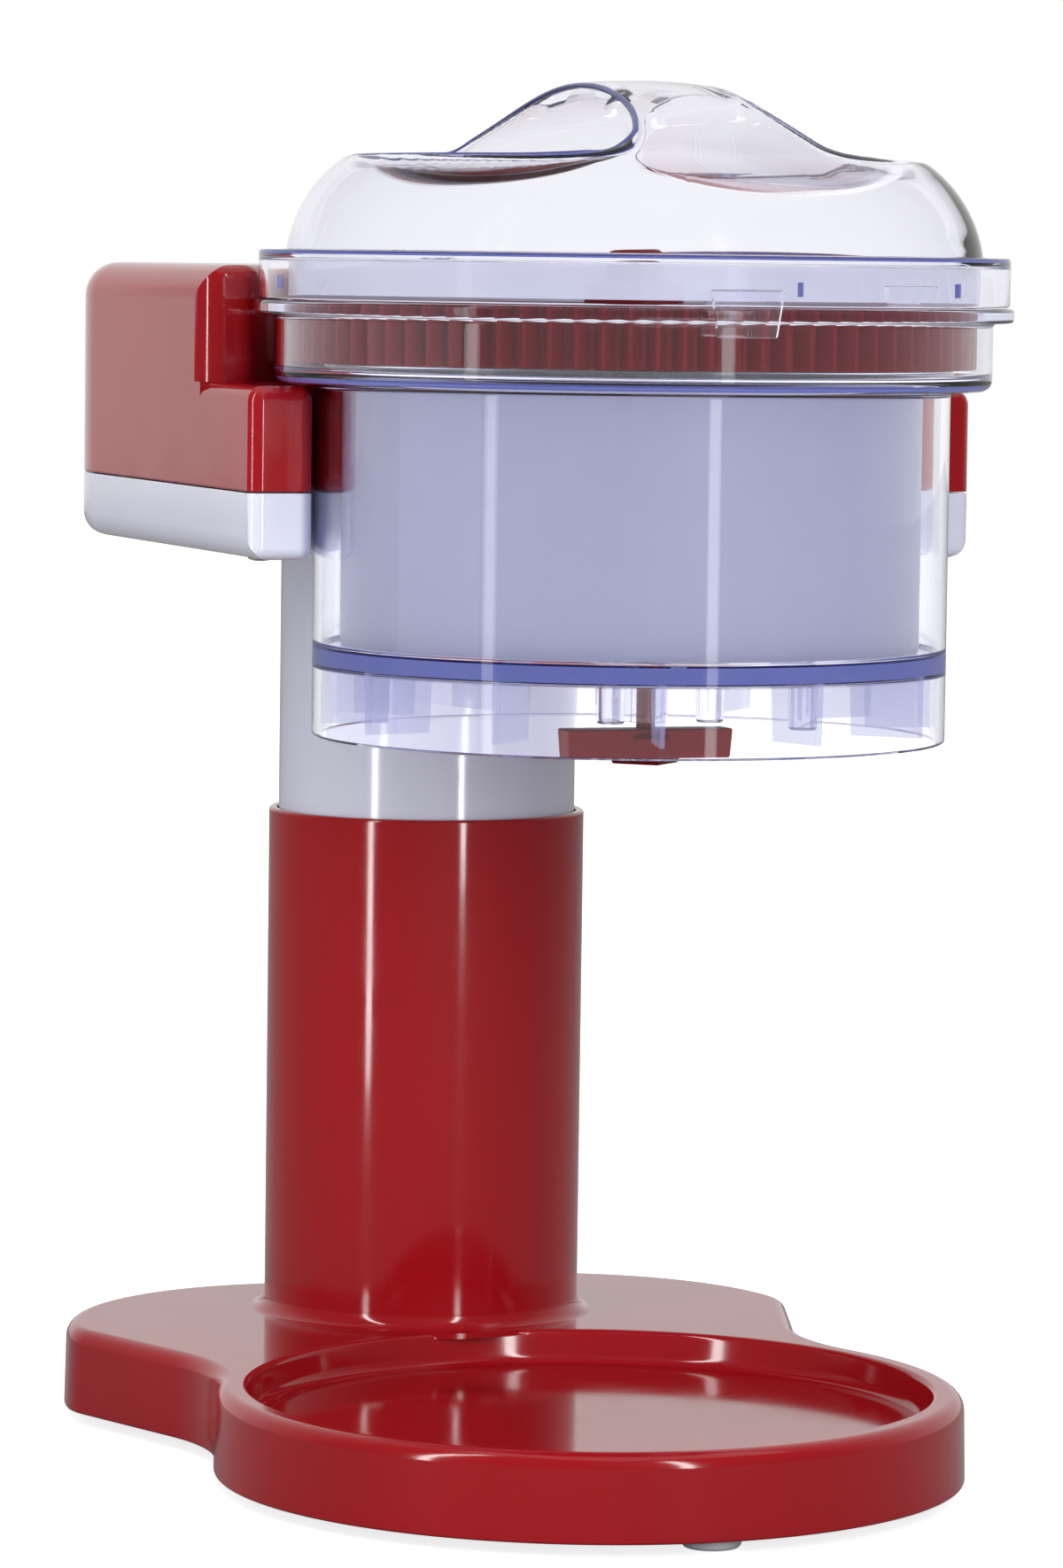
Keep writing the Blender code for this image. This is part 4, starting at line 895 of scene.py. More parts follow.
def make_gland():
    """A ribbed grommet round the mains inlet."""
    low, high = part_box("cord_gland")
    rear = high.y - HOPPER_Y - HEAD_REAR
    flange = (high.z - low.z) / 2
    profile = [
        (0.0022, -0.004),
        (0.0040, -0.004),
        (0.0040, GAP),
        (flange, GAP),
        (flange, 0.0014),
        (flange - 0.0009, 0.0020),
        (flange - 0.0006, 0.0026),
        (flange - 0.0016, rear),
        (0.0022, rear),
    ]
    gland = turned("inlet_grommet", rounded_profile(profile, 0.0003, 3), DARK, 64)
    gland.data.transform(Matrix.Rotation(-math.pi / 2, 4, "X"))
    gland.location = (GLAND.x, HOPPER_Y + HEAD_REAR, GLAND.z)
    return finished(gland, "head", "dark_plastic", "cord_gland")


def make_switch():
    """A rocker in a rectangular bezel on the rear of the gear case."""
    flange = rectangle(-0.0130, HEAD_REAR + GAP, 0.0130, HEAD_REAR + 0.0018)
    bezel = lofted("power_switch_bezel", [(flange, SWITCH_Z - 0.0100), (flange, SWITCH_Z + 0.0100)], DARK)
    bevelled(bezel, 0.0006, 3)
    body = rectangle(-0.0102, HEAD_REAR - 0.010, 0.0102, HEAD_REAR + 0.0010)
    join(bezel, lofted("bezel_body", [(body, SWITCH_Z - 0.0072), (body, SWITCH_Z + 0.0072)]))
    well = rectangle(-0.0085, HEAD_REAR - 0.0088, 0.0085, HEAD_REAR + 0.01)
    cut(bezel, lofted("bezel_well", [(well, SWITCH_Z - 0.0060), (well, SWITCH_Z + 0.0060)]))
    finished(bezel, "head", "dark_plastic", "switch_bezel")
    half_width = 0.0081
    bm = bmesh.new()
    face = [(-0.0052, 0.0022), (0, 0.0030), (0.0052, 0.0034)]
    side = face + [(0.0048, -0.0018), (0, -0.0042), (-0.0048, -0.0018)]
    rings = [[bm.verts.new((x, y, z)) for z, y in side] for x in (-half_width, half_width)]
    for i in range(len(side)):
        j = (i + 1) % len(side)
        bm.faces.new((rings[0][i], rings[0][j], rings[1][j], rings[1][i]))
    bm.faces.new(rings[0])
    bm.faces.new(rings[1])
    rocker = object_of(bm, "power_switch_rocker", DARK, at=(0, HEAD_REAR - 0.002), z=SWITCH_Z)
    bevelled(rocker, 0.0004, 2, 50)
    finished(rocker, "rocker", "dark_plastic", "switch_rocker")


# Hopper


def quarter(centre, radius, start, end, steps=6):
    """Points round a quarter circle in a profile, with its angles in degrees from the radial direction."""
    angles = [math.radians(start + (end - start) * i / steps) for i in range(steps + 1)]
    return [(centre[0] + radius * math.cos(a), centre[1] + radius * math.sin(a)) for a in angles]


def make_hopper():
    inner = BARREL_RADIUS - HOPPER_WALL
    collar_inner = COLLAR_RADIUS - HOPPER_WALL
    flange_bottom = FLANGE_TOP - FLANGE_THICKNESS
    outer_shoulder = quarter((COLLAR_RADIUS - 0.0030, SHOULDER_BOTTOM + 0.0030), 0.0030, -90, 0)
    profile = [(0, FLOOR_BOTTOM), (inner - 0.001, FLOOR_BOTTOM)]
    profile += quarter((inner - 0.001, FLOOR_BOTTOM - 0.001), 0.001, 90, 0, 4)
    profile += [(inner, SKIRT_BOTTOM + 0.0005), (inner + 0.0005, SKIRT_BOTTOM)]
    profile += [(BARREL_RADIUS - 0.0005, SKIRT_BOTTOM), (BARREL_RADIUS, SKIRT_BOTTOM + 0.0005)]
    profile += quarter((BARREL_RADIUS + 0.0015, SHOULDER_BOTTOM - 0.0015), 0.0015, 180, 90, 4)
    profile += outer_shoulder
    profile += quarter((COLLAR_RADIUS + 0.0012, flange_bottom - 0.0012), 0.0012, 180, 90, 4)
    profile += quarter((FLANGE_RADIUS - 0.0010, flange_bottom + 0.0010), 0.0010, -90, 0, 4)
    profile += quarter((FLANGE_RADIUS - 0.0010, FLANGE_TOP - 0.0010), 0.0010, 0, 90, 4)
    profile += [(collar_inner + 0.0005, FLANGE_TOP), (collar_inner, FLANGE_TOP - 0.0005)]
    profile += quarter((collar_inner - 0.0020, SHOULDER_TOP + 0.0020), 0.0020, 0, -90, 5)
    profile += [
        (inner + 0.0030, SHOULDER_TOP),
        (inner + 0.0030, RING_BOTTOM - GAP),
        (inner + 0.0010, RING_BOTTOM - GAP),
        (inner, RING_BOTTOM - 0.0015),
    ]
    profile += quarter((inner - 0.0012, FLOOR_TOP + 0.0012), 0.0012, 0, -90, 4)
    profile += [(0, FLOOR_TOP)]
    hopper = turned("hopper_shell", profile, CLEAR, 192)
    ribs = bmesh.new()
    for i in range(RIB_COUNT):
        angle = 2 * math.pi * (i + 0.5) / RIB_COUNT
        low_plan = turned_rectangle(angle, 0.0605, -0.0006, BARREL_RADIUS - 0.001, 0.0006)
        high_plan = turned_rectangle(angle, 0.0600, -0.0009, BARREL_RADIUS - 0.001, 0.0009)
        add_lofted(ribs, [(low_plan, SKIRT_BOTTOM + 0.003), (high_plan, FLOOR_BOTTOM + 0.001)])
    bosses = bmesh.new()
    for spot in ((-0.010, -0.014), (0.017, -0.013), (0.030, -0.042)):
        boss = [(0, SKIRT_BOTTOM + 0.0045), (0.0030, SKIRT_BOTTOM + 0.0045), (0.0035, SKIRT_BOTTOM + 0.0050),
                (0.0037, FLOOR_BOTTOM + 0.001), (0, FLOOR_BOTTOM + 0.001)]
        add_turned(bosses, boss, SMALL_STEPS, spot)
    stem = 0.0027
    knob_boss = turned(
        "knob_boss",
        [(stem, SKIRT_BOTTOM + 0.0040), (0.0055, SKIRT_BOTTOM + 0.0040), (0.0055, FLOOR_BOTTOM + 0.001),
         (stem, FLOOR_BOTTOM + 0.001)],
        None, SMALL_STEPS, (KNOB.x, KNOB.y),
    )
    stem_rod = rod_profile(stem, 0.2, FLOOR_TOP - 0.0012)
    stem_hole = turned("stem_hole", stem_rod, None, SMALL_STEPS, (KNOB.x, KNOB.y))
    slot = turned_rectangle(BLADE_ANGLE, 0.012, -0.0060, 0.066, 0.0040)
    ice_slot = lofted("ice_slot", [(slot, 0.20), (slot, 0.22)])
    gate = rectangle(-0.0195, 0.0795, 0.0195, 0.0915)
    pinion_gate = lofted("pinion_gate", [(gate, SHOULDER_BOTTOM - 0.005), (gate, flange_bottom - 0.0002)])
    trimmed(object_of(ribs, "hopper_floor_ribs", RIB_BLUE), "hopper")
    # Painted edge refraction: blue lines round the collar's edge and the floor's rim, where light bent
    # through the clear plastic shows deepest blue.
    edge = round_section(COLLAR_RADIUS - 0.0014, SHOULDER_BOTTOM + 0.0014, 0.0007)
    trimmed(turned("hopper_collar_painted_edge", edge, PAINTED_EDGE_BLUE, 192), "hopper")
    band = [(BARREL_RADIUS - 0.0012, FLOOR_BOTTOM + 0.0003), (BARREL_RADIUS - 0.0005, FLOOR_BOTTOM + 0.0003),
            (BARREL_RADIUS - 0.0005, FLOOR_TOP - 0.0003), (BARREL_RADIUS - 0.0012, FLOOR_TOP - 0.0003)]
    trimmed(turned("hopper_floor_painted_edge", band, PAINTED_EDGE_BLUE, 192), "hopper")
    join(hopper, object_of(bosses, "floor_bosses"), knob_boss)
    cut(hopper, stem_hole, ice_slot, pinion_gate)
    return finished(hopper, "hopper", "clear_plastic", "hopper", sharp=40)


def make_ice_sleeve():
    low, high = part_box("ice_sleeve")
    radius = (high.x - low.x) / 2
    cup = turned("frosted_ice_cup", tube_profile(radius, 0.0022, low.z, high.z, 0.0007), FROSTED, 192)
    return finished(cup, "hopper", "frosted_plastic", "ice_sleeve")


def make_blade():
    """A shaving blade with a ground edge, where the CAD has it."""
    low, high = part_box("blade")
    bottom, top = low.z, high.z

    def plan(x0, y0, x1, y1):
        turn = Matrix.Rotation(BLADE_ANGLE, 3, "Z")
        corners = [turn @ Vector((x, y, 0)) for x, y in rectangle(x0, y0, x1, y1)]
        return [(corner.x, corner.y) for corner in corners]

    blade = lofted("shaving_blade", [(plan(0.014, -0.0015, 0.064, 0.0140), bottom),
                                     (plan(0.014, -0.0013, 0.064, 0.0140), bottom + 0.0002),
                                     (plan(0.014, 0.0020, 0.064, 0.0140), top)], STEEL)
    holes = bmesh.new()
    for index in (1, 2):
        spot = centre_of(f"blade_screw_{index}")
        add_turned(holes, rod_profile(0.0019, 0.21, 0.23), SMALL_STEPS, (spot.x, spot.y - HOPPER_Y))
    cut(blade, object_of(holes, "blade_holes"))
    return finished(blade, "hopper", "steel", "blade")


def make_blade_knob():
    """A wing knob under the hopper: a bar with a square hub set cornerwise, and a stem."""
    low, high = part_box("blade_knob")
    half_length = (high.x - low.x) / 2
    bottom, top = low.z + 0.0014, 0.1966
    bar = rectangle(-half_length, -0.0042, half_length, 0.0042)
    slim = rectangle(-half_length + 0.0005, -0.0038, half_length - 0.0005, 0.0038)
    at = (KNOB.x, KNOB.y)
    knob = lofted("wing_knob", [(slim, bottom), (bar, top)], GEAR_RED, at)
    reach = 0.0092
    diamond = [(reach, 0), (0, reach), (-reach, 0), (0, -reach)]
    hub = lofted("knob_hub", [(diamond, low.z), (diamond, top - 0.0020)], None, at)
    join(knob, hub)
    bevelled(knob, 0.0006, 3, 30)
    stem = turned("knob_stem", rod_profile(0.0024, top - 0.003, high.z), None, SMALL_STEPS, at)
    join(knob, stem)
    return finished(knob, "knob", "red_gear", "blade_knob")


def gear_outline(teeth, flank_points, first_tooth):
    """An involute spur gear's outline, with the middle of its first tooth at the given angle."""
    pitch = GEAR_MODULE * teeth / 2
    base = pitch * math.cos(PRESSURE_ANGLE)
    tip = pitch + GEAR_MODULE
    root = pitch - 1.25 * GEAR_MODULE
    start = max(base, root)
    half_at_pitch = math.pi / (2 * teeth) - BACKLASH / (2 * pitch)

    def half_angle(radius):
        """Half of the tooth's thickness at this radius, as an angle."""
        roll = math.acos(min(1.0, base / radius))
        return half_at_pitch + math.tan(PRESSURE_ANGLE) - PRESSURE_ANGLE - math.tan(roll) + roll

    points = []
    for tooth in range(teeth):
        middle = first_tooth + 2 * math.pi * tooth / teeth
        radii = [start + (tip - start) * i / (flank_points - 1) for i in range(flank_points)]
        flank = [(radius, half_angle(radius)) for radius in radii]
        if start > root:
            flank.insert(0, (root, half_angle(start)))
        for radius, half in flank:
            points.append((radius * math.cos(middle - half), radius * math.sin(middle - half)))
        for radius, half in reversed(flank):
            points.append((radius * math.cos(middle + half), radius * math.sin(middle + half)))
    return points


def scaled(points, factor):
    return [(x * factor, y * factor) for x, y in points]


def make_gear(node, piece, teeth, body, material, slot):
    """A fine copy of one of the small gears, with bevelled ends and a bore."""
    low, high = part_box(node)
    centre = (low + high) / 2
    at = (centre.x, centre.y - HOPPER_Y)
    first = {"idler_gear": 0.0}.get(node, math.pi / teeth) - math.pi / 2
    outline = gear_outline(teeth, 5, first)
    trim = 0.985
    levels = [(scaled(outline, trim), low.z), (outline, low.z + 0.0003), (outline, high.z - 0.0003),
              (scaled(outline, trim), high.z)]
    gear = lofted(piece, levels, material, at)
    cut(gear, turned("gear_bore", rod_profile(0.0043, 0.28, 0.31), None, SMALL_STEPS, at))
    return finished(gear, body, slot, node)


def make_ring_gear():
    """The ring gear, its web with stiffening ribs, and the hub that guides the presser's shaft."""
    outline = gear_outline(RING_TEETH, 5, math.pi / 2)
    trim = 0.9965
    levels = [(scaled(outline, trim), RING_BOTTOM), (outline, RING_BOTTOM + 0.0003),
              (outline, RING_TOP - 0.0003), (scaled(outline, trim), RING_TOP)]
    ring = lofted("ring_gear", levels, GEAR_RED)
    web_bottom = RING_TOP - 0.0026
    hollow = turned("ring_hollow", rod_profile(0.0785, RING_BOTTOM - 0.01, web_bottom))
    dish = turned(
        "ring_dish",
        rounded_profile([(0.0185, RING_TOP - 0.0011), (0.0745, RING_TOP - 0.0011), (0.0750, RING_TOP + 0.01),
                         (0.0180, RING_TOP + 0.01)], 0.0004),
    )
    cut(ring, hollow, dish)
    spokes = bmesh.new()
    for i in range(6):
        turn = Matrix.Rotation(math.pi * (i + 0.5) / 3, 3, "Z")
        wide = [turn @ Vector((x, y, 0)) for x, y in rectangle(0.012, -0.0030, 0.0765, 0.0030)]
        flat = [(corner.x, corner.y) for corner in wide]
        add_lofted(spokes, [(flat, RING_TOP - 0.0018), (flat, RING_TOP - 0.0002)])
    hub = turned(
        "ring_hub",
        [
            (0, 0.2920),
            (0.0088, 0.2920),
            (0.0092, 0.2924),
            (0.0095, web_bottom + 0.0005),
            (HUB_RADIUS, web_bottom + 0.0005),
            *quarter((HUB_RADIUS - 0.0012, HUB_TOP - 0.0012), 0.0012, 0, 90, 4),
            (0.0062, HUB_TOP),
            (0, HUB_TOP),
        ],
        None,
        96,
    )
    bore = turned("ring_bore", rod_profile(0.0049, 0.28, 0.32), None, SMALL_STEPS)
    join(ring, hub, object_of(spokes, "web_spokes"))
    cut(ring, bore)
    return finished(ring, "ring", "red_gear", "drive_disc")


def make_presser():
    low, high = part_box("presser_shaft")
    knob_radius = (high.x - low.x) / 2
    plate_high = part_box("presser_plate")[1]
    plate_top = plate_high.z
    neck = HUB_TOP + GAP
    shaft_radius = 0.0045
    profile = [
        (0, low.z),
        (0.0070, low.z),
        (0.0070, low.z + 0.0007),
        (0.0032, low.z + 0.0007),
        (0.0032, plate_top + GAP),
        (shaft_radius, plate_top + GAP),
        (shaft_radius, neck),
        (knob_radius - 0.0008, neck),
        (knob_radius, neck + 0.0008),
        (knob_radius, high.z - 0.0030),
        *quarter((knob_radius - 0.0022, high.z - 0.0022), 0.0022, 0, 90, 5),
        (0.0034, high.z),
        (0.0026, high.z - 0.0006),
        (0, high.z - 0.0006),
    ]
    shaft = turned("presser_stem", profile, GEAR_RED, 64)
    finished(shaft, "presser", "red_gear", "presser_shaft")


def make_spring():
    """A compression spring with closed, flattened ends, made at one length though on the machine it shortens
    as the presser rises.
    """
    low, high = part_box("presser_spring")
    wire = 0.0007
    coil_radius = (high.x - low.x) / 2 - wire
    turns = 6
    bottom, top = low.z + wire, high.z - wire
    steps, sides = turns * 48, 12
    bm = bmesh.new()
    rings = []
    for i in range(steps + 1):
        part = i / steps
        climb = min(1.0, max(0.0, (part * turns - 0.75) / (turns - 1.5)))
        angle = 2 * math.pi * turns * part
        out = Vector((math.cos(angle), math.sin(angle), 0))
        centre = out * coil_radius + Vector((0, 0, bottom + (top - bottom) * climb))
        around = [2 * math.pi * k / sides for k in range(sides)]
        upright = Vector((0, 0, 1))
        spots = [centre + wire * (math.cos(a) * out + math.sin(a) * upright) for a in around]
        rings.append([bm.verts.new(spot) for spot in spots])
    join_rings(bm, rings)
    bm.faces.new(rings[0][::-1])
    bm.faces.new(rings[-1])
    spring = object_of(bm, "coil_spring", STEEL)
    finished(spring, "ring", "steel", "presser_spring")
    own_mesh(spring)


# Lid


def dome_height(radius):
    """The dome's height at this distance from its axis: a crown's sphere that runs into a shoulder arc."""
    tilt = math.asin(SHOULDER_START / CROWN_RADIUS)
    crown_centre = CROWN_TOP - CROWN_RADIUS
    if radius <= SHOULDER_START:
        return crown_centre + math.sqrt(CROWN_RADIUS**2 - radius**2)
    reach = SHOULDER_START - SHOULDER_ARC * math.sin(tilt)
    height = crown_centre + (CROWN_RADIUS - SHOULDER_ARC) * math.cos(tilt)
    return height + math.sqrt(SHOULDER_ARC**2 - (radius - reach) ** 2)


def flank_height(x):
    """The pocket's height at this distance from the ridge's middle: a quarter of an ellipse."""
    lean = min(1.0, max(0.0, (POCKET_REACH - x) / (POCKET_REACH - RIDGE_HALF_WIDTH)))
    edge = CROWN_TOP + 0.001
    return edge - (edge - POCKET_FLOOR) * math.sqrt(1 - lean**2)


def smooth_least(one, other, blend):
    """The lesser of two heights, rounded off where they are within blend of each other."""
    near = max(0.0, blend - abs(one - other)) / blend
    return min(one, other) - near * near * blend / 4


def pocket_height(x, y):
    """The scoop beside the handle ridge: a hollow flank along Y that runs into a shallow round dish."""
    rise = max(0.0, math.hypot(x, y) - DISH_RADIUS) / (DISH_RIM_RADIUS - DISH_RADIUS)
    dish = POCKET_FLOOR + DISH_RIM_RISE * rise**2
    return -smooth_least(-flank_height(abs(x)), -dish, 0.007)


def lid_height(x, y):
    """The lid's outer surface: crisp along the ridge, and soft where a pocket runs out to the side."""
    dome = dome_height(min(math.hypot(x, y), SHOULDER_END))
    if abs(x) <= RIDGE_HALF_WIDTH:
        return dome
    out = min(1.0, max(0.0, (abs(x) - 0.030) / 0.022))
    softness = 0.0014 + 0.0030 * out * out * (3 - 2 * out)
    return smooth_least(dome, pocket_height(x, y), softness)


def lid_ceiling(x, y):
    """The lid's inner surface, a wall's thickness in from the outer one."""
    step = 0.0004
    slope_x = (lid_height(x + step, y) - lid_height(x - step, y)) / (2 * step)
    slope_y = (lid_height(x, y + step) - lid_height(x, y - step)) / (2 * step)
    return lid_height(x, y) - LID_WALL * min(2.4, math.sqrt(1 + slope_x**2 + slope_y**2))


def spread(start, end, count):
    return [start + (end - start) * i / count for i in range(count)]


def add_canopy(bm, reach, height, across=96):
    """Adds a sheet over a disc, in strips along Y that lie closest at the ridge. Gives its edge in order."""
    half = spread(0, RIDGE_HALF_WIDTH, 5) + spread(RIDGE_HALF_WIDTH, 0.030, 16) + spread(0.030, 0.066, 18)
    half += [0.066 + (reach - 0.066) * math.sin(math.pi / 2 * i / 14) for i in range(14)] + [reach]
    lines = [-x for x in half[:0:-1]] + half
    columns = []
    for x in lines:
        end = math.sqrt(max(0.0, reach**2 - x**2))
        if end < 1e-6:
            columns.append([bm.verts.new((x, 0, height(x, 0)))] * (across + 1))
            continue
        ys = [end * (2 * j / across - 1) for j in range(across + 1)]
        columns.append([bm.verts.new((x, y, height(x, y))) for y in ys])
    for column, following in zip(columns, columns[1:]):
        for j in range(across):
            corners = list(dict.fromkeys((column[j], following[j], following[j + 1], column[j + 1])))
            bm.faces.new(corners)
    front = [column[0] for column in columns]
    back = [column[-1] for column in columns[-2:0:-1]]
    return front + back


def make_lid():
    bm = bmesh.new()
    outer = add_canopy(bm, SHOULDER_END, lid_height)
    inner_end = SHOULDER_END - LID_WALL
    inner = add_canopy(bm, inner_end, lambda x, y: lid_ceiling(x * SHOULDER_END / inner_end, y))
    turns = [math.atan2(vert.co.y, vert.co.x) for vert in outer]
    profile = [
        (SHOULDER_END + 0.0006, LID_RIM_TOP + 0.0002),
        (SHOULDER_END + 0.0014, LID_RIM_TOP),
        *quarter((LID_RADIUS - 0.0010, LID_RIM_TOP - 0.0010), 0.0010, 90, 0, 4),
        (LID_RADIUS, LID_BOTTOM + 0.0004),
        (LID_RADIUS - 0.0004, LID_BOTTOM),
        (LID_RADIUS - LID_WALL + 0.0003, LID_BOTTOM),
        (LID_RADIUS - LID_WALL, LID_BOTTOM + 0.0003),
        *quarter((LID_RADIUS - LID_WALL - 0.0008, LID_RIM_TOP - LID_WALL - 0.0008), 0.0008, 0, 90, 3),
        (inner_end + 0.0008, LID_RIM_TOP - LID_WALL),
    ]
    rings = [outer]
    for radius, height in profile:
        rings.append([bm.verts.new((radius * math.cos(a), radius * math.sin(a), height)) for a in turns])
    rings.append(inner)
    join_rings(bm, rings)
    lid = object_of(bm, "domed_lid", CLEAR_LID)
    # The tab stands off the skirt in front and hangs over the hopper's flange. A lower lug sits beside it.
    front, back = -0.0998, -0.0976
    tab = [(-0.0073, 0.2960), (0.0073, 0.2960), (0.0091, 0.3074), (-0.0091, 0.3074)]
    bm = bmesh.new()
    faces = [[bm.verts.new((x, y, z)) for x, z in tab] for y in (front, back)]
    for i in range(4):
        j = (i + 1) % 4
        bm.faces.new((faces[0][i], faces[0][j], faces[1][j], faces[1][i]))
    bm.faces.new(faces[0])
    bm.faces.new(faces[1])
    plate = bevelled(object_of(bm, "tab_plate"), 0.0005, 3)
    bridge = rectangle(-0.0088, back - 0.0005, 0.0088, -0.0932)
    ledge = lofted("tab_ledge", [(bridge, 0.3050), (bridge, 0.3068)])
    for piece in (plate, ledge):
        piece.rotation_euler = (0, 0, TAB_TURN)
    block = rectangle(-0.0085, -0.0958, 0.0085, -0.0930)
    lug = bevelled(lofted("side_lug", [(block, 0.3048), (block, 0.3086)]), 0.0004, 3)
    lug.rotation_euler = (0, 0, LUG_TURN)
    join(lid, plate, ledge, lug)
    return finished(lid, "lid", "clear_plastic", "lid", sharp=50)


def add_tube(bm, path, radii, sides=10):
    """Adds a closed tube round a loop of points, with its own radius at each."""
    count = len(path)
    rings = []
    for i, (point, radius) in enumerate(zip(path, radii)):
        along = (path[(i + 1) % count] - path[i - 1]).normalized()
        across = along.cross(Vector((0, 0, 1))).normalized()
        upright = across.cross(along).normalized()
        around = [2 * math.pi * k / sides for k in range(sides)]
        spots = [point + radius * (math.cos(a) * across + math.sin(a) * upright) for a in around]
        rings.append([bm.verts.new(spot) for spot in spots])
    join_rings(bm, rings + rings[:1])


def make_painted_pocket_edge(label, side, thickest, thinnest, towards):
    """A painted blue line of edge refraction round a pocket's crisp edge, where the plastic looks bluest.
    It's thickest in one direction.
    """
    path, radii = [], []
    steps = 180
    for i in range(steps):
        angle = 2 * math.pi * i / steps
        near, far = 0.0, 0.060
        for _ in range(40):
            reach = (near + far) / 2
            x, y = POCKET_MIDDLE + reach * math.cos(angle), reach * math.sin(angle)
            dome = dome_height(min(math.hypot(x, y), SHOULDER_END))
            if x > RIDGE_HALF_WIDTH and pocket_height(x, y) < dome:
                near = reach
            else:
                far = reach
        facing = max(0.0, math.cos(angle - towards))
        radii.append(thinnest + (thickest - thinnest) * facing)
        path.append(Vector((side * x, y, lid_height(x, y) - radii[-1] * 0.5)))
    bm = bmesh.new()
    add_tube(bm, path, radii)
    edge = object_of(bm, f"pocket_edge_{label}", PAINTED_EDGE_BLUE)
    return trimmed(edge, "lid")


def make_lid_trim():
    """The lid's inner lip, which closes inside the collar, a painted blue line of edge refraction round its
    upper edge, and its lock stops in the same painted edge blue.
    """
    lip = [(0.0866, 0.3046), (0.0866, 0.3136), (0.0858, 0.3136), (0.0856, 0.3046)]
    trimmed(turned("lid_inner_lip", rounded_profile(lip, 0.0003, 3), MILKY, 192), "lid")
    # Painted edge refraction: a blue line round the rim's upper edge.
    ring = round_section(LID_RADIUS - 0.0006, LID_RIM_TOP - 0.0006, 0.0005)
    trimmed(turned("lid_rim_painted_edge", ring, PAINTED_EDGE_BLUE, 192), "lid")
    stops = bmesh.new()
    for degrees in STOP_TURNS:
        plan = turned_rectangle(math.radians(degrees), -0.0004, -0.0935, 0.0004, -0.0918)
        add_lofted(stops, [(plan, 0.3058), (plan, 0.3092)])
    # The stops are coloured in the painted edge-refraction blue.
    trimmed(object_of(stops, "lid_lock_stops", PAINTED_EDGE_BLUE), "lid")


# What the frame keeps as it is


def dress_frame():
    """Gives the CAD nodes that stay in view their finish."""
    looks = {
        "gear_plate": STEEL,
        "pinion_post": STEEL,
        "idler_post": STEEL,
        "motor_gearbox": STEEL,
        "drive_motor": ZINC,
        "presser_plate": STEEL,
    }
    for node, material in looks.items():
        mesh = frame["nodes"][node].data
        mesh.materials.clear()
        mesh.materials.append(material)


# Studio


def make_floor():
    bm = bmesh.new()
    bmesh.ops.create_grid(bm, x_segments=2, y_segments=2, size=6)
    floor = object_of(bm, "floor", at=(0, -HOPPER_Y))
    material = Nodes("pale_floor")
    material.set(base_color=(0.93, 0.93, 0.94, 1), roughness=0.6)
    material.shader.inputs["Specular IOR Level"].default_value = 0.2
    material.shader.inputs["Emission Color"].default_value = (1, 1, 1, 1)
    path = material.tree.nodes.new("ShaderNodeLightPath")
    seen = arithmetic(
        material.tree, "ADD", path.outputs["Is Camera Ray"], path.outputs["Transmission Depth"]
    )
    seen.node.use_clamp = True
    material.link(mapped(material.tree, seen, 0.05, 0.80), material.shader.inputs["Emission Strength"])
    material.link(mapped(material.tree, seen, 0.40, 0.93), material.shader.inputs["Base Color"])
    floor.data.materials.append(material.material)
    floor.location.z = -0.0002


def add_softbox(name, at, target, width, height, power, colour=(1, 1, 1)):
    light = bpy.data.lights.new(name, "AREA")
    light.shape = "RECTANGLE"
    light.size, light.size_y = width, height
    light.energy = power
    light.color = colour
    obj = bpy.data.objects.new(name, light)
    obj.location = at
    obj.rotation_mode = "QUATERNION"
    obj.rotation_quaternion = (Vector(target) - Vector(at)).to_track_quat("-Z", "Y")
    bpy.context.scene.collection.objects.link(obj)
    return obj


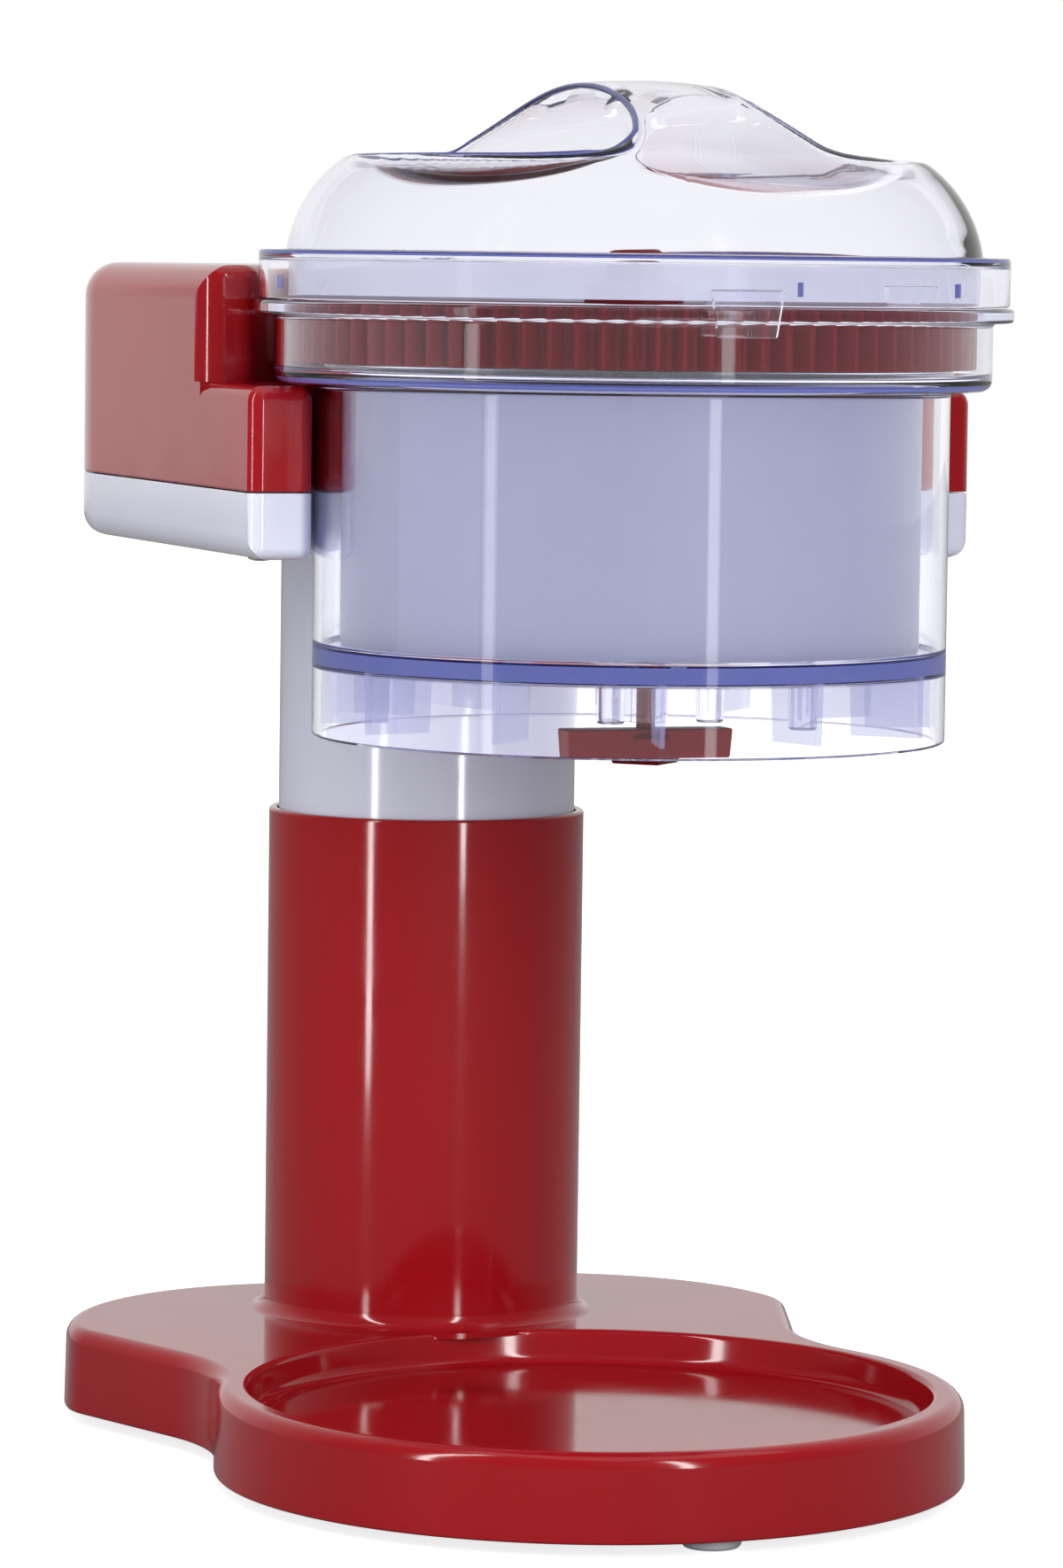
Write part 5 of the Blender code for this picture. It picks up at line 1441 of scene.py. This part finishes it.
def make_studio():
    """White behind the machine and dim in front of it, so its faces keep their colour and its rims shine.

    The camera and rays that passed through clear plastic see the world at full strength. Two upright strips
    draw the streaks on the round walls. The fills only light surfaces, and don't show in them.
    """
    world = bpy.data.worlds.new("studio")
    bpy.context.scene.world = world
    world.use_nodes = True
    tree = world.node_tree
    back = tree.nodes["Background"]
    path = tree.nodes.new("ShaderNodeLightPath")
    seen = arithmetic(tree, "MAXIMUM", path.outputs["Is Camera Ray"], path.outputs["Is Transmission Ray"])
    way = tree.nodes.new("ShaderNodeTexCoord")
    behind = tree.nodes.new("ShaderNodeVectorMath")
    behind.operation = "DOT_PRODUCT"
    behind.inputs[1].default_value = (-math.sin(AZIMUTH), math.cos(AZIMUTH), 0)
    tree.links.new(way.outputs["Generated"], behind.inputs[0])
    dim = mapped(tree, behind.outputs["Value"], 0.20, 0.85, -0.1, 0.7)
    through = arithmetic(tree, "MINIMUM", path.outputs["Transmission Depth"], 1.0)
    lit = arithmetic(tree, "MAXIMUM", seen, through)
    straight = arithmetic(tree, "LESS_THAN", path.outputs["Diffuse Depth"], 0.5)
    direct = arithmetic(tree, "MULTIPLY", lit, straight)
    level = arithmetic(tree, "MAXIMUM", dim, direct)
    back.inputs["Color"].default_value = (1, 1, 1, 1)
    tree.links.new(level, back.inputs["Strength"])
    solid_pieces = bpy.data.collections.new("solid_pieces")
    for piece in bpy.context.scene.objects:
        slots = getattr(piece.data, "materials", None) or ()
        if any(material in (RED, WHITE, RUBBER, DARK) for material in slots):
            solid_pieces.objects.link(piece)
    for name, at, width, height, power in (
        ("strip_left", (-0.62, -0.28, 0.30), 0.05, 1.5, 5.0),
        ("strip_right", (0.20, -1.45, 0.35), 0.10, 2.2, 16.0),
    ):
        strip = add_softbox(name, at, (0, 0.03, 0.20), width, height, power)
        strip.light_linking.receiver_collection = solid_pieces
        add_softbox(f"{name}_soft", at, (0, 0.03, 0.20), width, height, power * 0.12)
    add_softbox("overhead", (0.1, -0.2, 1.5), (0, 0, 0.1), 1.4, 1.4, 5)
    for name, at, power in (("fill_front", (-0.1, -1.9, 0.9), 11), ("fill_side", (-1.7, 0.1, 0.6), 3)):
        add_softbox(name, at, (0, 0, 0.2), 1.2, 1.2, power).visible_glossy = False


def make_camera():
    """The camera stands in front and to the left, a little above the hopper, and looks slightly down."""
    pitch, yaw, roll = (math.radians(a) for a in (4.65, 0.8355, 0.83))
    distance, height = 1.6455, 0.3157
    right = Vector((math.cos(AZIMUTH), math.sin(AZIMUTH), 0))
    ahead = Vector((-math.sin(AZIMUTH), math.cos(AZIMUTH), 0))
    down = Vector((0, 0, -1))
    tipped = ahead * math.cos(pitch) + down * math.sin(pitch)
    below = down * math.cos(pitch) - ahead * math.sin(pitch)
    swung = right * math.cos(yaw) + tipped * math.sin(yaw)
    forward = tipped * math.cos(yaw) - right * math.sin(yaw)
    side = swung * math.cos(roll) - below * math.sin(roll)
    under = swung * math.sin(roll) + below * math.cos(roll)
    data = bpy.data.cameras.new("camera")
    data.sensor_width = 36
    data.lens = 150.3
    data.clip_start, data.clip_end = 0.05, 40
    camera = bpy.data.objects.new("camera", data)
    place = Matrix((side, -under, -forward)).transposed().to_4x4()
    place.translation = Vector((0, HOPPER_Y, height)) - ahead * distance
    camera.matrix_world = place
    bpy.context.scene.collection.objects.link(camera)
    bpy.context.scene.camera = camera


def make_machine():
    make_base()
    make_base_plate()
    make_feet()
    for index in range(1, 5):
        make_screw(f"base_screw_{index}", "base")
        make_screw(f"head_screw_{index}", "head")
        make_screw(f"gear_plate_screw_{index}", "head", upside_down=True)
    make_lower_shell()
    make_upper_cover()
    make_column()
    make_gland()
    make_switch()
    make_gear("drive_pinion", "pinion_gear", 14, "pinion", ACETAL, "gear_plastic")
    make_gear("idler_gear", "idler_wheel", 12, "idler", ACETAL, "gear_plastic")
    make_gear("motor_gear", "motor_pinion", 17, "motor_gear", ACETAL, "gear_plastic")
    make_hopper()
    make_ice_sleeve()
    make_blade()
    for index in (1, 2):
        make_screw(f"blade_screw_{index}", "hopper", upside_down=True)
    make_blade_knob()
    make_ring_gear()
    make_presser()
    make_spring()
    make_lid()
    make_painted_pocket_edge("left", -1, 0.0008, 0.0006, math.radians(-120))
    make_painted_pocket_edge("right", 1, 0.0003, 0.0001, math.radians(120))
    make_lid_trim()
    dress_frame()


make_machine()
make_floor()
make_studio()
make_camera()
bpy.context.scene.view_settings.view_transform = "Standard"
